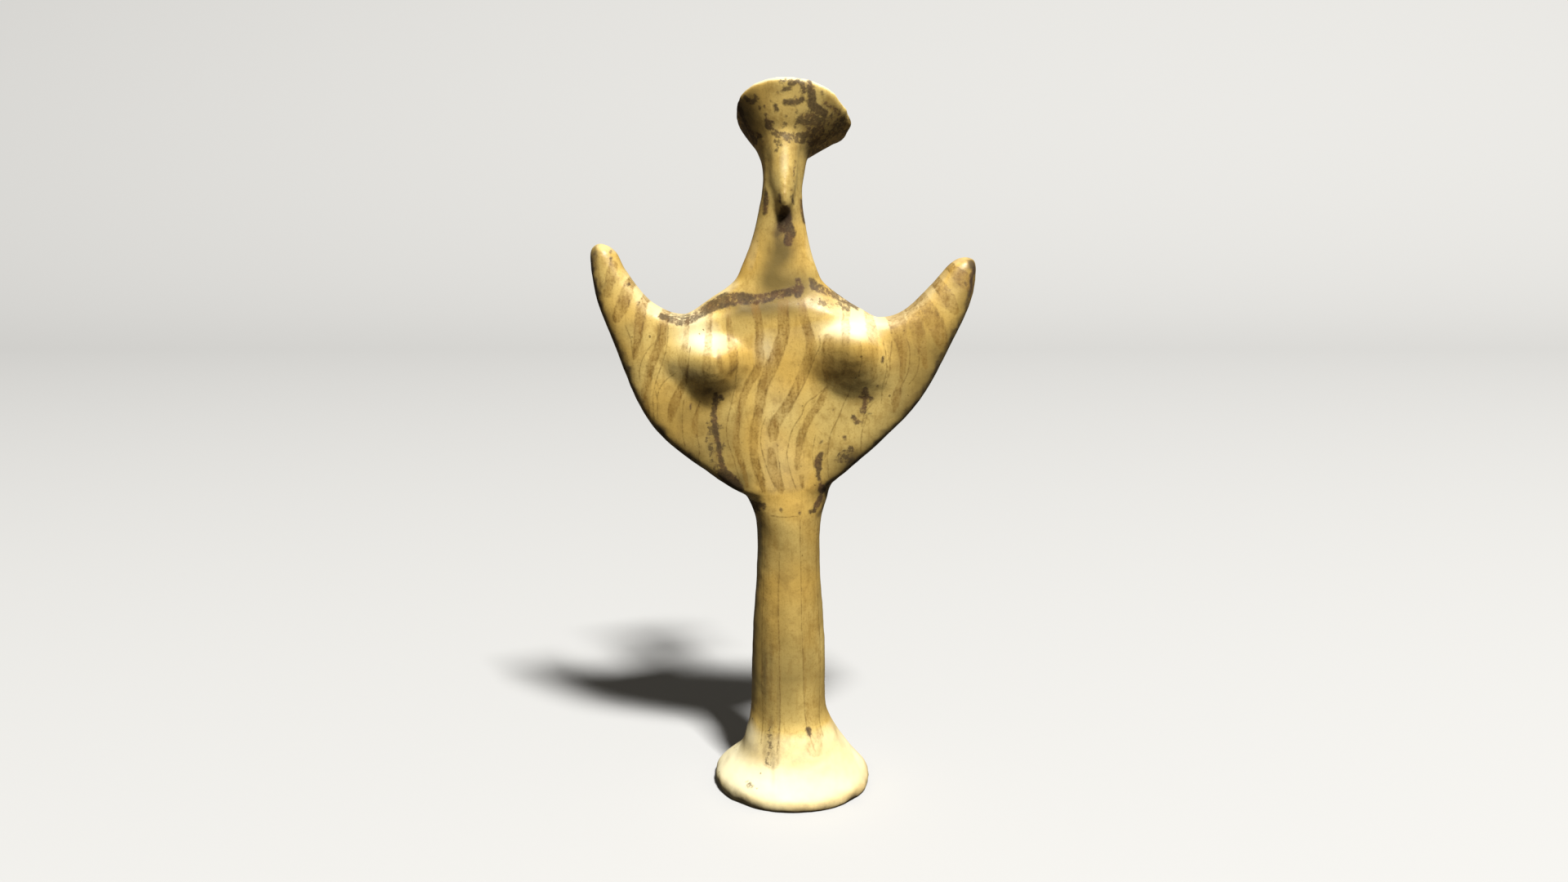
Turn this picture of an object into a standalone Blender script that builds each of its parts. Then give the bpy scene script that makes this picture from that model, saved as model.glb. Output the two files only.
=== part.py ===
"""Mycenaean figurine of the psi type: one hand-formed body of fired clay.

Metres, with +Z up. The origin is the centre of the flat underside. The figure faces -Y and
its raised arms spread along X. Its pose and proportions are hundredths of its own height.
"""

import math
from typing import NamedTuple

import bmesh
import bpy
from mathutils import Vector

# Overall height, from the underside to the front rim of the headdress
HEIGHT = 0.115
PART = HEIGHT / 100.0

# Foot: a round base that flares out from the stem to a soft rim, which sits lower on the right
BASE_RADIUS = 11.65 * PART
RIM_HEIGHT = 0.65 * PART
RIM_TUCK = 0.55 * PART
RIM_ROLL = math.radians(2.5)
FLARE_HEIGHT = 11.0 * PART

# Stem: nearly a cylinder, a little slimmer towards the waist
STEM_RADIUS = 5.3 * PART
STEM_TOP_RADIUS = 4.45 * PART
STEM_SLIMMEST = 34.0 * PART
WAIST_HEIGHT = 43.0 * PART

# Torso and raised arms: one flat crescent
TORSO_HALF_DEPTH = 4.0 * PART
SHOULDER_HALF_DEPTH = 3.6 * PART
ARM_HALF_DEPTH = 2.9 * PART
TIP_HALF_DEPTH = 2.2 * PART
EDGE_ROUNDING = 1.3 * PART

# Chest: flat below the bend, from which it falls back towards the shoulders
CHEST_FRONT = 3.96 * PART
CHEST_BEND_UP = 60.9 * PART
CHEST_BEND_RADIUS = 21.7 * PART
BREAST_RIM = 0.05
BREAST_ROOT = 1.2 * PART

# Neck, face and headdress
NECK_HALF_DEPTH = 2.9 * PART
NOSE_REACH = 2.3 * PART
NOSE_HALF_WIDTH = 1.8 * PART
NOSE_SQUARENESS = 1.15
POLOS_RADIUS = 7.9 * PART
POLOS_LEAN = math.radians(40.0)
POLOS_ROLL = math.radians(5.0)
POLOS_WALL = 1.8 * PART
DISH_DEPTH = 2.5 * PART

# Hand finish: how fine the fused clay is, and how far its joins are rubbed smooth
BODY_GRAIN = 0.62 * PART
BODY_RUBS = 10
DETAIL_GRAIN = 0.42 * PART
DETAIL_RUBS = 7
SHARE_OF_FACES_KEPT = 0.112

# Sections of each loft
RING_POINTS = 32
STEPS_BETWEEN = 5


class Ring(NamedTuple):
    """A cross-section: its centre, half sizes, lean to the back, roll down to the right and squareness."""

    side: float
    back: float
    up: float
    half_width: float
    half_depth: float
    lean: float = 0.0
    roll: float = 0.0
    squareness: float = 2.0


class Chord(NamedTuple):
    """A slice of the crescent from its inner edge to its outer edge, in hundredths of the height."""

    inner_side: float
    inner_up: float
    outer_side: float
    outer_up: float
    half_depth: float


class Pellet(NamedTuple):
    """A pellet pressed on the chest, in hundredths of the height.

    Its rim is an egg with its own middle, half sizes and lean to the left. Its tip, which stands out
    by reach, is drawn aside and up from there. Softness flares its flanks, and sag firms the lower ones.
    """

    side: float
    up: float
    half_width: float
    half_height: float
    reach: float
    aside: float
    lift: float
    softness: float
    sag: float
    taper: float
    lean: float


def between(before, start, end, after, share):
    """A point of the smooth curve through start and end, which the two outer values steer."""
    slope_start = (end - before) * 0.5
    slope_end = (after - start) * 0.5
    square = share * share
    cube = square * share
    return (
        (2.0 * cube - 3.0 * square + 1.0) * start
        + (cube - 2.0 * square + share) * slope_start
        + (3.0 * square - 2.0 * cube) * end
        + (cube - square) * slope_end
    )


def smooth(stations, steps):
    """Puts more sections between the given ones, so that each size follows one smooth curve."""
    kind = type(stations[0])
    finer = []
    for index in range(len(stations) - 1):
        before = stations[max(index - 1, 0)]
        start = stations[index]
        end = stations[index + 1]
        after = stations[min(index + 2, len(stations) - 1)]
        for step in range(steps):
            share = step / steps
            finer.append(kind(*[between(*sizes, share) for sizes in zip(before, start, end, after)]))
    finer.append(stations[-1])
    return finer


def oval(centre, across, depth, squareness=2.0):
    """Points round an oval with the two half axes across and depth; over 2, squareness flattens it."""
    power = 2.0 / squareness
    points = []
    for index in range(RING_POINTS):
        angle = math.tau * index / RING_POINTS
        along = math.cos(angle)
        aside = math.sin(angle)
        along = math.copysign(abs(along) ** power, along)
        aside = math.copysign(abs(aside) ** power, aside)
        points.append(centre + across * along + depth * aside)
    return points


def slab(centre, across, depth, rounding):
    """Points round an oblong with the two half sides across and depth and rounded corners."""
    radius = min(rounding, 0.95 * across.length, 0.95 * depth.length)
    flat_across = across * (1.0 - radius / across.length)
    flat_depth = depth * (1.0 - radius / depth.length)
    corners = ((1.0, 1.0), (-1.0, 1.0), (-1.0, -1.0), (1.0, -1.0))
    arc_points = RING_POINTS // 4
    points = []
    for turn, (aside, along) in enumerate(corners):
        corner = centre + flat_across * aside + flat_depth * along
        for step in range(arc_points):
            angle = 0.5 * math.pi * (turn + step / (arc_points - 1))
            outward = across.normalized() * math.cos(angle) + depth.normalized() * math.sin(angle)
            points.append(corner + outward * radius)
    return points


def ring_axes(ring):
    """The directions across a cross-section and through its depth."""
    across = Vector((math.cos(ring.roll), 0.0, -math.sin(ring.roll)))
    depth = Vector((0.0, math.cos(ring.lean), -math.sin(ring.lean)))
    return across, depth


def ring_points(ring):
    """Points round a cross-section."""
    across, depth = ring_axes(ring)
    centre = Vector((ring.side, ring.back, ring.up))
    return oval(centre, across * ring.half_width, depth * ring.half_depth, ring.squareness)


def loft(shape, sections):
    """Skins a row of closed sections and caps both ends."""
    rows = [[shape.verts.new(point) for point in section] for section in sections]
    for lower, upper in zip(rows, rows[1:]):
        for index in range(RING_POINTS):
            following = (index + 1) % RING_POINTS
            shape.faces.new((lower[index], lower[following], upper[following], upper[index]))
    shape.faces.new(list(reversed(rows[0])))
    shape.faces.new(rows[-1])


def add_foot_and_stem(shape):
    """The base, its flare and the stem, up into the torso."""
    stem_side = -0.6 * PART
    below = BASE_RADIUS - 1.6 * RIM_TUCK
    bottom = BASE_RADIUS - RIM_TUCK
    shoulder = 0.95 * BASE_RADIUS
    flare = 0.72 * BASE_RADIUS
    ankle = 0.59 * BASE_RADIUS
    stations = [
        Ring(0.0, 0.0, -1.2 * RIM_TUCK, below, below),
        Ring(0.0, 0.0, 0.0, bottom, bottom, 0.0, 0.5 * RIM_ROLL),
        Ring(0.0, 0.0, RIM_HEIGHT, BASE_RADIUS, BASE_RADIUS, 0.0, RIM_ROLL),
        Ring(0.2 * PART, 0.0, 2.9 * RIM_HEIGHT, shoulder, shoulder, 0.0, RIM_ROLL),
        Ring(0.65 * PART, 0.0, 0.42 * FLARE_HEIGHT, flare, flare, 0.0, RIM_ROLL),
        Ring(-0.1 * PART, 0.0, 0.68 * FLARE_HEIGHT, ankle, ankle),
        Ring(stem_side, 0.0, FLARE_HEIGHT, 1.05 * STEM_RADIUS, 1.03 * STEM_RADIUS),
        Ring(stem_side, 0.0, 0.5 * STEM_SLIMMEST, STEM_RADIUS, 0.98 * STEM_RADIUS),
        Ring(stem_side, 0.0, 0.71 * STEM_SLIMMEST, 0.97 * STEM_RADIUS, 0.95 * STEM_RADIUS),
        Ring(stem_side, 0.0, STEM_SLIMMEST, STEM_TOP_RADIUS, STEM_TOP_RADIUS),
        Ring(stem_side, 0.0, 0.92 * WAIST_HEIGHT, 1.04 * STEM_TOP_RADIUS, 0.98 * STEM_TOP_RADIUS),
        Ring(-0.8 * PART, 0.0, WAIST_HEIGHT, 1.3 * STEM_TOP_RADIUS, 0.92 * STEM_TOP_RADIUS),
        Ring(-1.3 * PART, 0.0, 1.14 * WAIST_HEIGHT, 1.75 * STEM_TOP_RADIUS, 0.8 * TORSO_HALF_DEPTH),
    ]
    loft(shape, [ring_points(ring) for ring in smooth(stations, STEPS_BETWEEN)])


def crescent_chords():
    """Slices of the torso and both arms, from the left tip round the waist to the right tip."""
    arm = ARM_HALF_DEPTH / PART
    tip = TIP_HALF_DEPTH / PART
    torso = TORSO_HALF_DEPTH / PART
    return [
        Chord(-24.2, 76.9, -27.6, 76.6, tip),
        Chord(-22.4, 73.9, -27.3, 73.6, 0.5 * (tip + arm)),
        Chord(-19.6, 70.4, -26.4, 69.4, arm),
        Chord(-15.9, 68.4, -24.2, 63.9, 0.5 * (arm + torso)),
        Chord(-11.8, 68.7, -21.9, 57.7, 0.93 * torso),
        Chord(-7.6, 70.0, -18.6, 52.3, 0.98 * torso),
        Chord(-4.6, 70.6, -12.9, 47.5, torso),
        Chord(-2.0, 70.8, -5.8, 43.3, torso),
        Chord(-0.4, 70.8, 3.1, 43.9, torso),
        Chord(2.6, 70.4, 10.7, 49.8, torso),
        Chord(6.2, 69.4, 17.0, 56.3, 0.98 * torso),
        Chord(10.2, 67.9, 20.7, 62.9, 0.93 * torso),
        Chord(14.5, 68.4, 23.3, 68.3, 0.5 * (arm + torso)),
        Chord(18.0, 71.5, 24.5, 72.0, arm),
        Chord(20.6, 74.6, 24.8, 74.9, tip),
    ]


def add_crescent(shape):
    """The flat torso and the two upraised arms, which end in round tips."""
    sections = []
    chords = smooth(crescent_chords(), STEPS_BETWEEN)
    for chord in chords:
        inner = Vector((chord.inner_side, 0.0, chord.inner_up)) * PART
        outer = Vector((chord.outer_side, 0.0, chord.outer_up)) * PART
        depth = Vector((0.0, chord.half_depth * PART, 0.0))
        sections.append(slab((inner + outer) / 2.0, (outer - inner) / 2.0, depth, EDGE_ROUNDING))
    sections = tip_sections(chords[0], chords[1])[::-1] + sections + tip_sections(chords[-1], chords[-2])
    loft(shape, sections)


def tip_sections(chord, neighbour):
    """Shrinking slices that round off an arm past its last chord, away from its neighbour."""
    inner = Vector((chord.inner_side, 0.0, chord.inner_up)) * PART
    outer = Vector((chord.outer_side, 0.0, chord.outer_up)) * PART
    middle = (inner + outer) / 2.0
    behind_side = (neighbour.inner_side + neighbour.outer_side) / 2.0
    behind_up = (neighbour.inner_up + neighbour.outer_up) / 2.0
    outward = (middle - Vector((behind_side, 0.0, behind_up)) * PART).normalized()
    across = (outer - inner) / 2.0
    sections = []
    for step in range(1, STEPS_BETWEEN + 1):
        angle = 0.5 * math.pi * step / (STEPS_BETWEEN + 0.3)
        centre = middle + outward * across.length * math.sin(angle)
        shrink = math.cos(angle)
        depth = Vector((0.0, chord.half_depth * PART * shrink, 0.0))
        sections.append(slab(centre, across * shrink, depth, EDGE_ROUNDING))
    return sections


def neck_rings():
    """The neck, from where it leaves the shoulders up to where the head widens."""
    depth = NECK_HALF_DEPTH
    return [
        Ring(-2.0 * PART, 0.0, 73.6 * PART, 5.65 * PART, 1.14 * depth),
        Ring(-1.8 * PART, 0.0, 78.5 * PART, 3.95 * PART, 1.04 * depth),
        Ring(-1.55 * PART, 0.1 * PART, 84.5 * PART, 2.75 * PART, depth, 0.1 * POLOS_LEAN),
    ]


def add_shoulders(shape):
    """The shoulders, from inside the torso up into the neck."""
    depth = SHOULDER_HALF_DEPTH
    stations = [
        Ring(-1.4 * PART, 0.0, 55.0 * PART, 9.0 * PART, 0.7 * depth, 0.0, 0.0, 2.5),
        Ring(-1.4 * PART, 0.0, 62.0 * PART, 11.6 * PART, 0.92 * depth, 0.0, 0.0, 2.5),
        Ring(-1.6 * PART, 0.0, 67.6 * PART, 13.2 * PART, 0.97 * depth, 0.0, 0.0, 2.4),
        Ring(-2.2 * PART, 0.0, 70.4 * PART, 9.8 * PART, 0.94 * depth, 0.0, 0.0, 2.2),
    ]
    stations += neck_rings()
    loft(shape, [ring_points(ring) for ring in smooth(stations, STEPS_BETWEEN)])


def add_head(shape):
    """The neck again, up into the flaring headdress with its shallow dish."""
    radius = POLOS_RADIUS
    lean = POLOS_LEAN
    roll = POLOS_ROLL
    stations = neck_rings()
    stations += [
        Ring(-1.3 * PART, 0.5 * PART, 87.8 * PART, 2.8 * PART, 1.1 * NECK_HALF_DEPTH, 0.35 * lean),
        Ring(-1.35 * PART, 1.1 * PART, 90.2 * PART, 0.45 * radius, 0.47 * radius, 0.6 * lean, 0.5 * roll),
        Ring(-0.75 * PART, 1.7 * PART, 92.4 * PART, 0.74 * radius, 0.76 * radius, 0.85 * lean, 1.2 * roll),
        Ring(-0.1 * PART, 2.2 * PART, 94.6 * PART, radius, radius, lean, roll),
    ]
    rings = smooth(stations, STEPS_BETWEEN)
    rings += dish_rings(rings[-1])
    loft(shape, [ring_points(ring) for ring in rings])


def dish_rings(rim):
    """Rings that roll over the rim and sink to the middle of the dish."""
    across, depth = ring_axes(rim)
    upward = across.cross(depth)
    radius = rim.half_width
    inner = radius - POLOS_WALL
    profile = [
        (radius - 0.15 * POLOS_WALL, 0.35 * POLOS_WALL),
        (radius - 0.5 * POLOS_WALL, 0.5 * POLOS_WALL),
        (radius - 0.85 * POLOS_WALL, 0.35 * POLOS_WALL),
    ]
    for step in range(1, STEPS_BETWEEN + 1):
        share = step / STEPS_BETWEEN
        profile.append((inner * (1.0 - 0.92 * share), -DISH_DEPTH * math.sin(0.5 * math.pi * share)))
    rings = []
    for size, lift in profile:
        centre = Vector((rim.side, rim.back, rim.up)) + upward * lift
        rings.append(Ring(centre.x, centre.y, centre.z, size, size, rim.lean, rim.roll))
    return rings


def add_nose(shape):
    """The ridge pinched from the face, from the headdress down to a blunt tip that overhangs.

    Each station says how far it is to the right, then its middle in front of the neck as a share of
    the reach, its height, and its half width and half depth as shares of the width and the reach.
    """
    front = -NECK_HALF_DEPTH
    width = NOSE_HALF_WIDTH
    side = -1.2 * PART
    stations = [
        (0.1 * PART, 0.5, 94.5 * PART, 1.1, 0.3),
        (0.0, 0.35, 91.0 * PART, 1.1, 0.5),
        (0.0, 0.2, 87.5 * PART, 1.0, 0.7),
        (0.0, 0.0, 84.9 * PART, 0.8, 0.82),
        (0.0, 0.0, 83.3 * PART, 0.64, 0.74),
        (0.0, 0.1, 82.3 * PART, 0.4, 0.4),
    ]
    rings = []
    for aside, back, up, wide, deep in stations:
        middle = (side + aside, front + back * NOSE_REACH, up)
        rings.append(Ring(*middle, wide * width, deep * NOSE_REACH, squareness=NOSE_SQUARENESS))
    loft(shape, [ring_points(ring) for ring in smooth(rings, STEPS_BETWEEN)])


def breast_pellets():
    """The left breast, whose lower edge is firm and pointed, and the softer, rounder right one."""
    return [
        Pellet(-11.21, 63.15, 10.0, 8.19, 3.39, 0.6, 0.35, 5.97, 0.63, 0.71, 0.0),
        Pellet(7.44, 63.07, 7.38, 6.04, 3.93, 0.69, 2.73, 2.35, 0.08, -0.08, -0.57),
    ]


def pellet_section(pellet, share, sunk):
    """The outline of a pellet where it has reached the given share of its height off the chest."""
    level = Vector((math.cos(pellet.lean), 0.0, math.sin(pellet.lean)))
    upward = Vector((-math.sin(pellet.lean), 0.0, math.cos(pellet.lean)))
    centre = Vector((pellet.side + pellet.aside * share, 0.0, pellet.up + pellet.lift * share))
    section = []
    for index in range(RING_POINTS):
        angle = math.tau * index / RING_POINTS
        softness = pellet.softness * (1.0 + pellet.sag * math.sin(angle))
        size = math.sqrt(1.0 - share ** (1.0 / softness))
        rise = size * math.sin(angle)
        across = size * math.cos(angle) * (1.0 + pellet.taper * rise)
        point = (centre + level * pellet.half_width * across + upward * pellet.half_height * rise) * PART
        bend = max(point.z - CHEST_BEND_UP, 0.0)
        point.y = 0.5 * bend * bend / CHEST_BEND_RADIUS - CHEST_FRONT - pellet.reach * share * PART + sunk
        section.append(point)
    return section


def add_breasts(shape):
    """Both pellets on the chest, each from a rim inside it to a tip in front of it."""
    steps = 3 * STEPS_BETWEEN
    for pellet in breast_pellets():
        widest = math.sqrt(1.0 - BREAST_RIM ** (1.0 / pellet.softness))
        sections = [pellet_section(pellet, BREAST_RIM, BREAST_ROOT)]
        for step in range(steps):
            size = widest * (1.0 - step / (steps - 0.5))
            sections.append(pellet_section(pellet, (1.0 - size * size) ** pellet.softness, 0.0))
        loft(shape, sections)


def clay_material():
    """Buff slip over fired clay, smoothed but not glazed."""
    material = bpy.data.materials.new("buff_clay")
    material.use_nodes = True
    surface = material.node_tree.nodes["Principled BSDF"]
    surface.inputs["Base Color"].default_value = (0.52, 0.36, 0.15, 1.0)
    surface.inputs["Roughness"].default_value = 0.5
    surface.inputs["Metallic"].default_value = 0.0
    return material


def add_object(name, shape):
    """Makes an object of the shape, with every face turned outwards."""
    bmesh.ops.recalc_face_normals(shape, faces=shape.faces)
    mesh = bpy.data.meshes.new(name)
    shape.to_mesh(mesh)
    shape.free()
    thing = bpy.data.objects.new(name, mesh)
    bpy.context.scene.collection.objects.link(thing)
    return thing


def guide(name, add):
    """Makes an object that only forms the figurine, from the function that adds its shape."""
    shape = bmesh.new()
    add(shape)
    thing = add_object(name, shape)
    thing.hide_render = True
    thing.display_type = "WIRE"
    return thing


def add_ground(shape):
    """A block under z = 0, which cuts the underside flat."""
    bmesh.ops.create_cube(shape, size=1.0)
    bmesh.ops.scale(shape, vec=(4.0 * BASE_RADIUS, 4.0 * BASE_RADIUS, 4.0 * RIM_TUCK), verts=shape.verts)
    bmesh.ops.translate(shape, vec=(0.0, 0.0, -2.0 * RIM_TUCK), verts=shape.verts)


def fuse(thing, grain, rubs):
    """Fuses overlapping masses into one body and rubs the joins smooth."""
    remesh = thing.modifiers.new("fuse", "REMESH")
    remesh.mode = "VOXEL"
    remesh.voxel_size = grain
    remesh.use_smooth_shade = True
    rub = thing.modifiers.new("rub", "SMOOTH")
    rub.factor = 0.5
    rub.iterations = rubs


def join(thing, other, operation):
    """Adds the other shape to the thing, or cuts it away."""
    cut = thing.modifiers.new(operation.lower(), "BOOLEAN")
    cut.operation = operation
    cut.solver = "EXACT"
    cut.object = other


def build_figurine():
    """Models the body, adds the details to it, and cuts the underside flat."""
    shape = bmesh.new()
    add_foot_and_stem(shape)
    add_crescent(shape)
    add_shoulders(shape)
    figurine = add_object("figurine", shape)
    figurine.data.materials.append(clay_material())
    fuse(figurine, BODY_GRAIN, BODY_RUBS)
    join(figurine, guide("head_guide", add_head), "UNION")
    join(figurine, guide("nose_guide", add_nose), "UNION")
    join(figurine, guide("breast_guide", add_breasts), "UNION")
    fuse(figurine, DETAIL_GRAIN, DETAIL_RUBS)
    thin_out = figurine.modifiers.new("thin_out", "DECIMATE")
    thin_out.ratio = SHARE_OF_FACES_KEPT
    join(figurine, guide("ground_guide", add_ground), "DIFFERENCE")


def main():
    """Clears the scene and builds the figurine."""
    for old in list(bpy.data.objects):
        bpy.data.objects.remove(old, do_unlink=True)
    build_figurine()


main()
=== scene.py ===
"""Looks of a Mycenaean psi-type figurine: buff slip over fired clay, under worn painted stripes.

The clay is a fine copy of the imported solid. Its hand-made unevenness is modelled in the mesh, and the
strokes of the painter's brush are measured on it point by point, so that the finish can wear them.
Names that end in mm are in millimetres, and so are all places on the figure: side is to the right of
the middle of its base, depth is away from its front, and up is above its underside.
"""

import logging
import math
from dataclasses import dataclass
from enum import Enum

import bmesh
import bpy
import numpy as np
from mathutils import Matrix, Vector, kdtree, noise


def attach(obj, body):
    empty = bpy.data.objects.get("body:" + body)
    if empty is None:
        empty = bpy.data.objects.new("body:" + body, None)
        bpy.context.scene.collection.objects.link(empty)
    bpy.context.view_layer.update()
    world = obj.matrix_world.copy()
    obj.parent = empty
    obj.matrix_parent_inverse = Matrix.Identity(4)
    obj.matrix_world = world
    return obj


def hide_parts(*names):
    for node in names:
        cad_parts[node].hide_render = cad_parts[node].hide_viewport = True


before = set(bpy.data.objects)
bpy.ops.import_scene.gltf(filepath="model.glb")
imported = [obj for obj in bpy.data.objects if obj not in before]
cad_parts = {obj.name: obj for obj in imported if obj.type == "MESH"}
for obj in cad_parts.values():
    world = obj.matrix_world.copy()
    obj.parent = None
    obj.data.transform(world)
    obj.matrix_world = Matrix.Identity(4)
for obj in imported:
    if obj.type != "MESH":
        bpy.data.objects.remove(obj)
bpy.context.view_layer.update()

LOG = logging.getLogger("figurine")
MM = 0.001
HAIR_MM = 0.2
FAR_MM = 1000.0
UNPAINTED_MM = 5.0
TORSO_MIDDLE_MM = -1.4

# The places of the Mix node's sockets that carry colours.
SHARE, UNDER, OVER, MIXED = 0, 6, 7, 2

Point = tuple[float, float]
Dab = tuple[float, float, float]
Tree = bpy.types.NodeTree
Socket = bpy.types.NodeSocket
Grains = dict[str, bpy.types.NodeSocket]


class Side(Enum):
    """Which part of the figure a stroke is painted on."""

    FRONT = "front"
    BACK = "back"
    ROUND = "front and back"
    STEM = "round the stem"


class Paint(Enum):
    """What is left of a stroke."""

    WORN = "a brown stain, darker along its edges"
    LINE = "a hair line"
    DARK = "the dark paint itself"


@dataclass(frozen=True)
class Stroke:
    """One stroke of the brush, as dabs that give a side, an up and a width.

    On the stem, side is measured round it from the middle of its front. Strength is the share of the
    stain or the paint that is left, and a hair line has none.
    """

    paint: Paint
    dabs: tuple[Dab, ...]
    side: Side
    strength: float = 1.0

    def smooth_dabs(self, steps: int = 5) -> np.ndarray:
        """Puts more dabs between the given ones, along one smooth curve.

        Args:
            steps: How many stretches each gap between two dabs is cut into.

        Returns:
            An array of side, up and width, one row for each dab.
        """
        given = np.array(self.dabs, float)
        if len(given) < 3:
            return given
        first = 2.0 * given[0] - given[1]
        last = 2.0 * given[-1] - given[-2]
        padded = np.vstack([first, given, last])
        finer = []
        for index in range(1, len(padded) - 2):
            before, start, end, after = padded[index - 1 : index + 3]
            for step in range(steps):
                share = step / steps
                bend = (2.0 * before - 5.0 * start + 4.0 * end - after) * share**2
                twist = (3.0 * start - before - 3.0 * end + after) * share**3
                finer.append(0.5 * (2.0 * start + (end - before) * share + bend + twist))
        finer.append(given[-1])
        return np.array(finer)

    def reach(self, places: np.ndarray) -> tuple[np.ndarray, np.ndarray]:
        """Measures how far places are from the stroke.

        Args:
            places: Side and up of each place.

        Returns:
            The distance to the stroke's edge, under zero inside it, and the distance to its middle
            line, under zero on its left.
        """
        dabs = self.smooth_dabs()
        edge = np.full(len(places), FAR_MM)
        middle = np.full(len(places), FAR_MM)
        for start, end in zip(dabs, dabs[1:]):
            along = end[:2] - start[:2]
            offset = places - start[:2]
            share = np.clip(offset @ along / max(along @ along, 1e-9), 0.0, 1.0)
            gap = np.linalg.norm(offset - share[:, None] * along, axis=1)
            inner = gap - 0.5 * (start[2] + share * (end[2] - start[2]))
            edge = np.minimum(edge, inner)
            turn = np.sign(along[1] * offset[:, 0] - along[0] * offset[:, 1])
            middle = np.where(gap < np.abs(middle), gap * np.where(turn == 0.0, 1.0, turn), middle)
        return edge, middle


def worn(*dabs: Dab, side: Side = Side.FRONT, strength: float = 1.0) -> Stroke:
    """A broad stroke whose paint is worn to a stain."""
    return Stroke(Paint.WORN, dabs, side, strength)


def line(*points: Point, side: Side = Side.FRONT) -> Stroke:
    """A hair line, such as the edge that is left of a stroke."""
    return Stroke(Paint.LINE, tuple((*point, HAIR_MM) for point in points), side)


def dark(*dabs: Dab, side: Side = Side.FRONT, strength: float = 1.0) -> Stroke:
    """A stroke, or what is left of one, with its dark paint still on."""
    return Stroke(Paint.DARK, dabs, side, strength)


LEFT_ARM = (
    worn((-30.8, 87.8, 1.3), (-30.8, 85.7, 1.5), (-30.3, 83.5, 1.2), side=Side.ROUND, strength=0.75),
    worn((-27.9, 86.8, 1.2), (-28.3, 84.6, 1.6), (-28.8, 82.4, 1.2), side=Side.ROUND, strength=0.85),
    worn(
        (-24.4, 85.6, 1.2), (-25.4, 83.6, 1.5), (-26.2, 81.2, 2.0), (-27.4, 78.7, 1.5), side=Side.ROUND,
    ),
    worn(
        (-22.6, 82.4, 1.3), (-23.5, 80.1, 1.6), (-23.9, 77.5, 1.6), (-24.2, 75.1, 1.1),
        (-24.7, 72.6, 0.7), side=Side.ROUND,
    ),
    line((-26.0, 77.5), (-25.2, 75.4), (-25.0, 73.2)),
)
RIGHT_ARM = (
    worn(
        (19.4, 82.4, 1.8), (20.6, 80.4, 2.1), (21.7, 78.4, 2.5), (22.6, 76.5, 2.4), (23.2, 74.7, 1.8),
        side=Side.ROUND, strength=0.85,
    ),
    worn((21.8, 84.7, 1.6), (23.0, 82.9, 1.8), (24.0, 81.4, 2.1), (25.0, 79.9, 1.3), side=Side.ROUND),
    worn((23.4, 87.4, 1.3), (24.8, 85.9, 1.6), (26.0, 84.8, 2.4), (27.7, 83.2, 1.6), side=Side.ROUND),
)
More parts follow.
